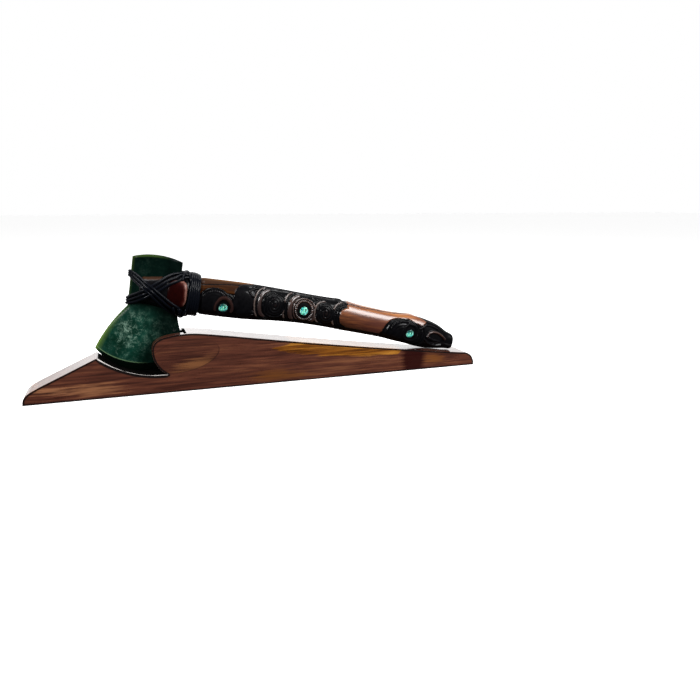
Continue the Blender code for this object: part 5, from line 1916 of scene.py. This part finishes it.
def tube_rings(line, radius):
    """Rings round a line, carried along without twist, with the ends drawn in."""
    tangent = np.gradient(line, axis=0)
    tangent /= np.linalg.norm(tangent, axis=1)[:, None]
    side = np.cross(tangent[0], (0.3, 0.5, 0.8))
    angle = 2 * np.pi * np.arange(CORD_SIDES)[:, None] / CORD_SIDES
    size = np.full(len(line), radius)
    size[0] = size[-1] = radius * 0.5
    rings = []
    for point, direction, r in zip(line, tangent, size):
        side = side - direction * np.dot(side, direction)
        side /= np.linalg.norm(side)
        rings.append(point + r * (np.cos(angle) * side + np.sin(angle) * np.cross(direction, side)))
    return np.array(rings)


def tube_faces(first, reach):
    """Faces of one tube and their places on the map; reach is each ring's distance along it."""
    faces, places = [], []
    for row in range(len(reach) - 1):
        near, far = first + row * CORD_SIDES, first + (row + 1) * CORD_SIDES
        for i in range(CORD_SIDES):
            j = (i + 1) % CORD_SIDES
            faces.append((near + i, near + j, far + j, far + i))
            places += [(reach[row + along], (i + around) / CORD_SIDES)
                       for along, around in ((0, 0), (0, 1), (1, 1), (1, 0))]
    for row, order in ((0, -1), (len(reach) - 1, 1)):
        faces.append([first + row * CORD_SIDES + i for i in range(CORD_SIDES)][::order])
        places += [(reach[row], i / CORD_SIDES) for i in range(CORD_SIDES)][::order]
    return faces, places


print("faces of a tube of two rings:", len(tube_faces(0, (0.0, STRAND_STEP))[0]))

# %% The cord as one mesh
def cord_piece(name, lines, radius):
    """All tubes of the cord as one mesh."""
    vertices, faces, places = [], [], []
    for line in lines:
        more_faces, more_places = tube_faces(len(vertices), distances(line))
        vertices += tube_rings(line, radius).reshape(-1, 3).tolist()
        faces += more_faces
        places += more_places
    mesh = bpy.data.meshes.new(name)
    mesh.from_pydata(vertices, [], faces)
    layer = mesh.uv_layers.new(name="braid")
    layer.data.foreach_set("uv", np.array(places, np.float32).ravel())
    mesh.shade_smooth()
    piece = new_object(name, mesh)
    piece.matrix_world = HAFT_FRAME
    face_outward(piece)
    return piece


lashing = cord_piece("bound_cord", cord_lines, CORD / 2)
print("cord:", len(lashing.data.polygons), "faces")

# %% [markdown]
# ## Waxed cord
# The cord is round-braided and waxed: nearly black, with a faint blue-grey shine along each strand.
# Two crossing waves over the tube's own map, along and round, make the herringbone of the braid.
# Modelled threads would cost a million faces for what is half a pixel wide.

# %% Waxed cord
BRAID_PITCH = 1.6 * mm
THREADS_ROUND = 4.0
waxed, tree, shader = new_material(
    "waxed_cord", Coat_Weight=0.12, Coat_Roughness=0.14, Specular_IOR_Level=0.03)
on_map = axes_of(node(tree, "UVMap", uv_map="braid").outputs["UV"])
along = times(on_map["X"], 1 / BRAID_PITCH)
waves = [maths("PINGPONG", scaled(on_map["Y"], slant, along), 0.5)
         for slant in (THREADS_ROUND, -THREADS_ROUND)]
weave = times(greater(*waves), 2.0)
fluff = noise(place_on_piece(tree), 900.0, 3.0, 0.7)
colour = blend(weave, (0.0008, 0.0011, 0.0020), (0.0026, 0.0034, 0.0058))
colour = blend(ramp(fluff, (0.62, 0.0), (0.78, 0.4)), colour, (0.014, 0.016, 0.022))
dress(shader, Base_Color=colour, Roughness=ramp(fluff, (0.3, 0.34), (0.7, 0.46)),
      Normal=bump(scaled(fluff, 0.4, weave), 0.08 * mm, 0.4))
lashing.data.materials.append(waxed)
print("waxed cord:", len(tree.nodes), "nodes")

# %% [markdown]
# ## The slot in the lobe
# The blade's rear corner stands in a saw cut through the lobe, whose floor follows the edge's
# curve. A Boolean is right here, because the real slot is a cut too: a thin board of the slot's
# outline is taken away from the stand. The faces of the seat and the slot then get the painted
# shade.

# %% Saw the slot
SLOT_PLAY = 0.4 * mm
SLOT_END_AT = 146.5 * mm
SLOT_START_AT = LOBE_FRONT[0] - 2 * BEVEL_WIDTH
SLOT_TOP = 1.5 * LOBE_TOP[1]


def cut_away(piece, cutter):
    modifier = piece.modifiers.new("cut", "BOOLEAN")
    modifier.operation = "DIFFERENCE"
    modifier.solver = "EXACT"
    modifier.object = cutter
    apply_modifiers(piece)
    bpy.data.objects.remove(cutter)


def slot_outline():
    centre_along, centre_up = edge_centre()
    radius = EDGE_RADIUS + GAP + SLOT_PLAY
    outline = [(along, centre_up - math.sqrt(radius ** 2 - (along - centre_along) ** 2))
               for along in np.linspace(SLOT_START_AT, SLOT_END_AT, 24)]
    outline += [(SLOT_END_AT, SLOT_TOP), (SLOT_START_AT, SLOT_TOP)]
    return [(along - STAND_LENGTH / 2, up) for along, up in outline]


cut_away(stand, board("saw_cut", slot_outline(), BLADE_THICKNESS + 2 * SLOT_PLAY))
print("stand with its slot:", len(stand.data.polygons), "faces")

# %% Keep the faces flat and paint the seat's shade
def seat_faces(piece):
    """Which faces belong to the seat's curve between the lip and the lobe, or to the slot."""
    chosen = []
    for face in piece.data.polygons:
        along, up = face.center.x + STAND_LENGTH / 2, face.center.z
        from_axis = math.hypot(along - SEAT_CENTRE_AT, up - SEAT_AXIS_UP)
        curved = abs(from_axis - SEAT_RADIUS) < 0.3 * mm and LIP_AT + 1 * mm < along
        sawn = abs(face.center.y) < BLADE_THICKNESS / 2 + SLOT_PLAY + 0.01 * mm
        in_slot = sawn and SLOT_START_AT < along < SLOT_END_AT + 0.5 * mm
        chosen.append(abs(face.normal.y) < 0.3 and curved or in_slot)
    return chosen


stand.data.shade_smooth()
stand.data.set_sharp_from_angle(angle=math.radians(24))
flat_shading = stand.modifiers.new("faces_stay_flat", "WEIGHTED_NORMAL")
flat_shading.weight = 100
flat_shading.keep_sharp = True
apply_modifiers(stand)
print("stained faces of the seat and the slot:", paint_faces(stand, seat_faces(stand)))

# %% [markdown]
# ## Putting it together
# Nothing moves here, so every piece rides on the one body. Each stands for the solid whose place it
# takes.

# %% Ride and replace
STANDS_FOR = [(stand, "stand", "stand_wood"), (haft, "haft", "haft_wood"),
              (blade, "blade", "greenstone"), (lashing, "lashing", "cord")]
STANDS_FOR += [(disc, "eye_" + label, "shell") for label, disc in shells.items()]
for piece, solid, finish in STANDS_FOR:
    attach(piece, "root")
    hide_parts(solid)

bpy.context.view_layer.update()
LOOKS_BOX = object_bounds()
for name, box in (("cad", CAD_BOX), ("looks", LOOKS_BOX)):
    print(name, [[round(x / mm, 1) for x in corner] for corner in box])
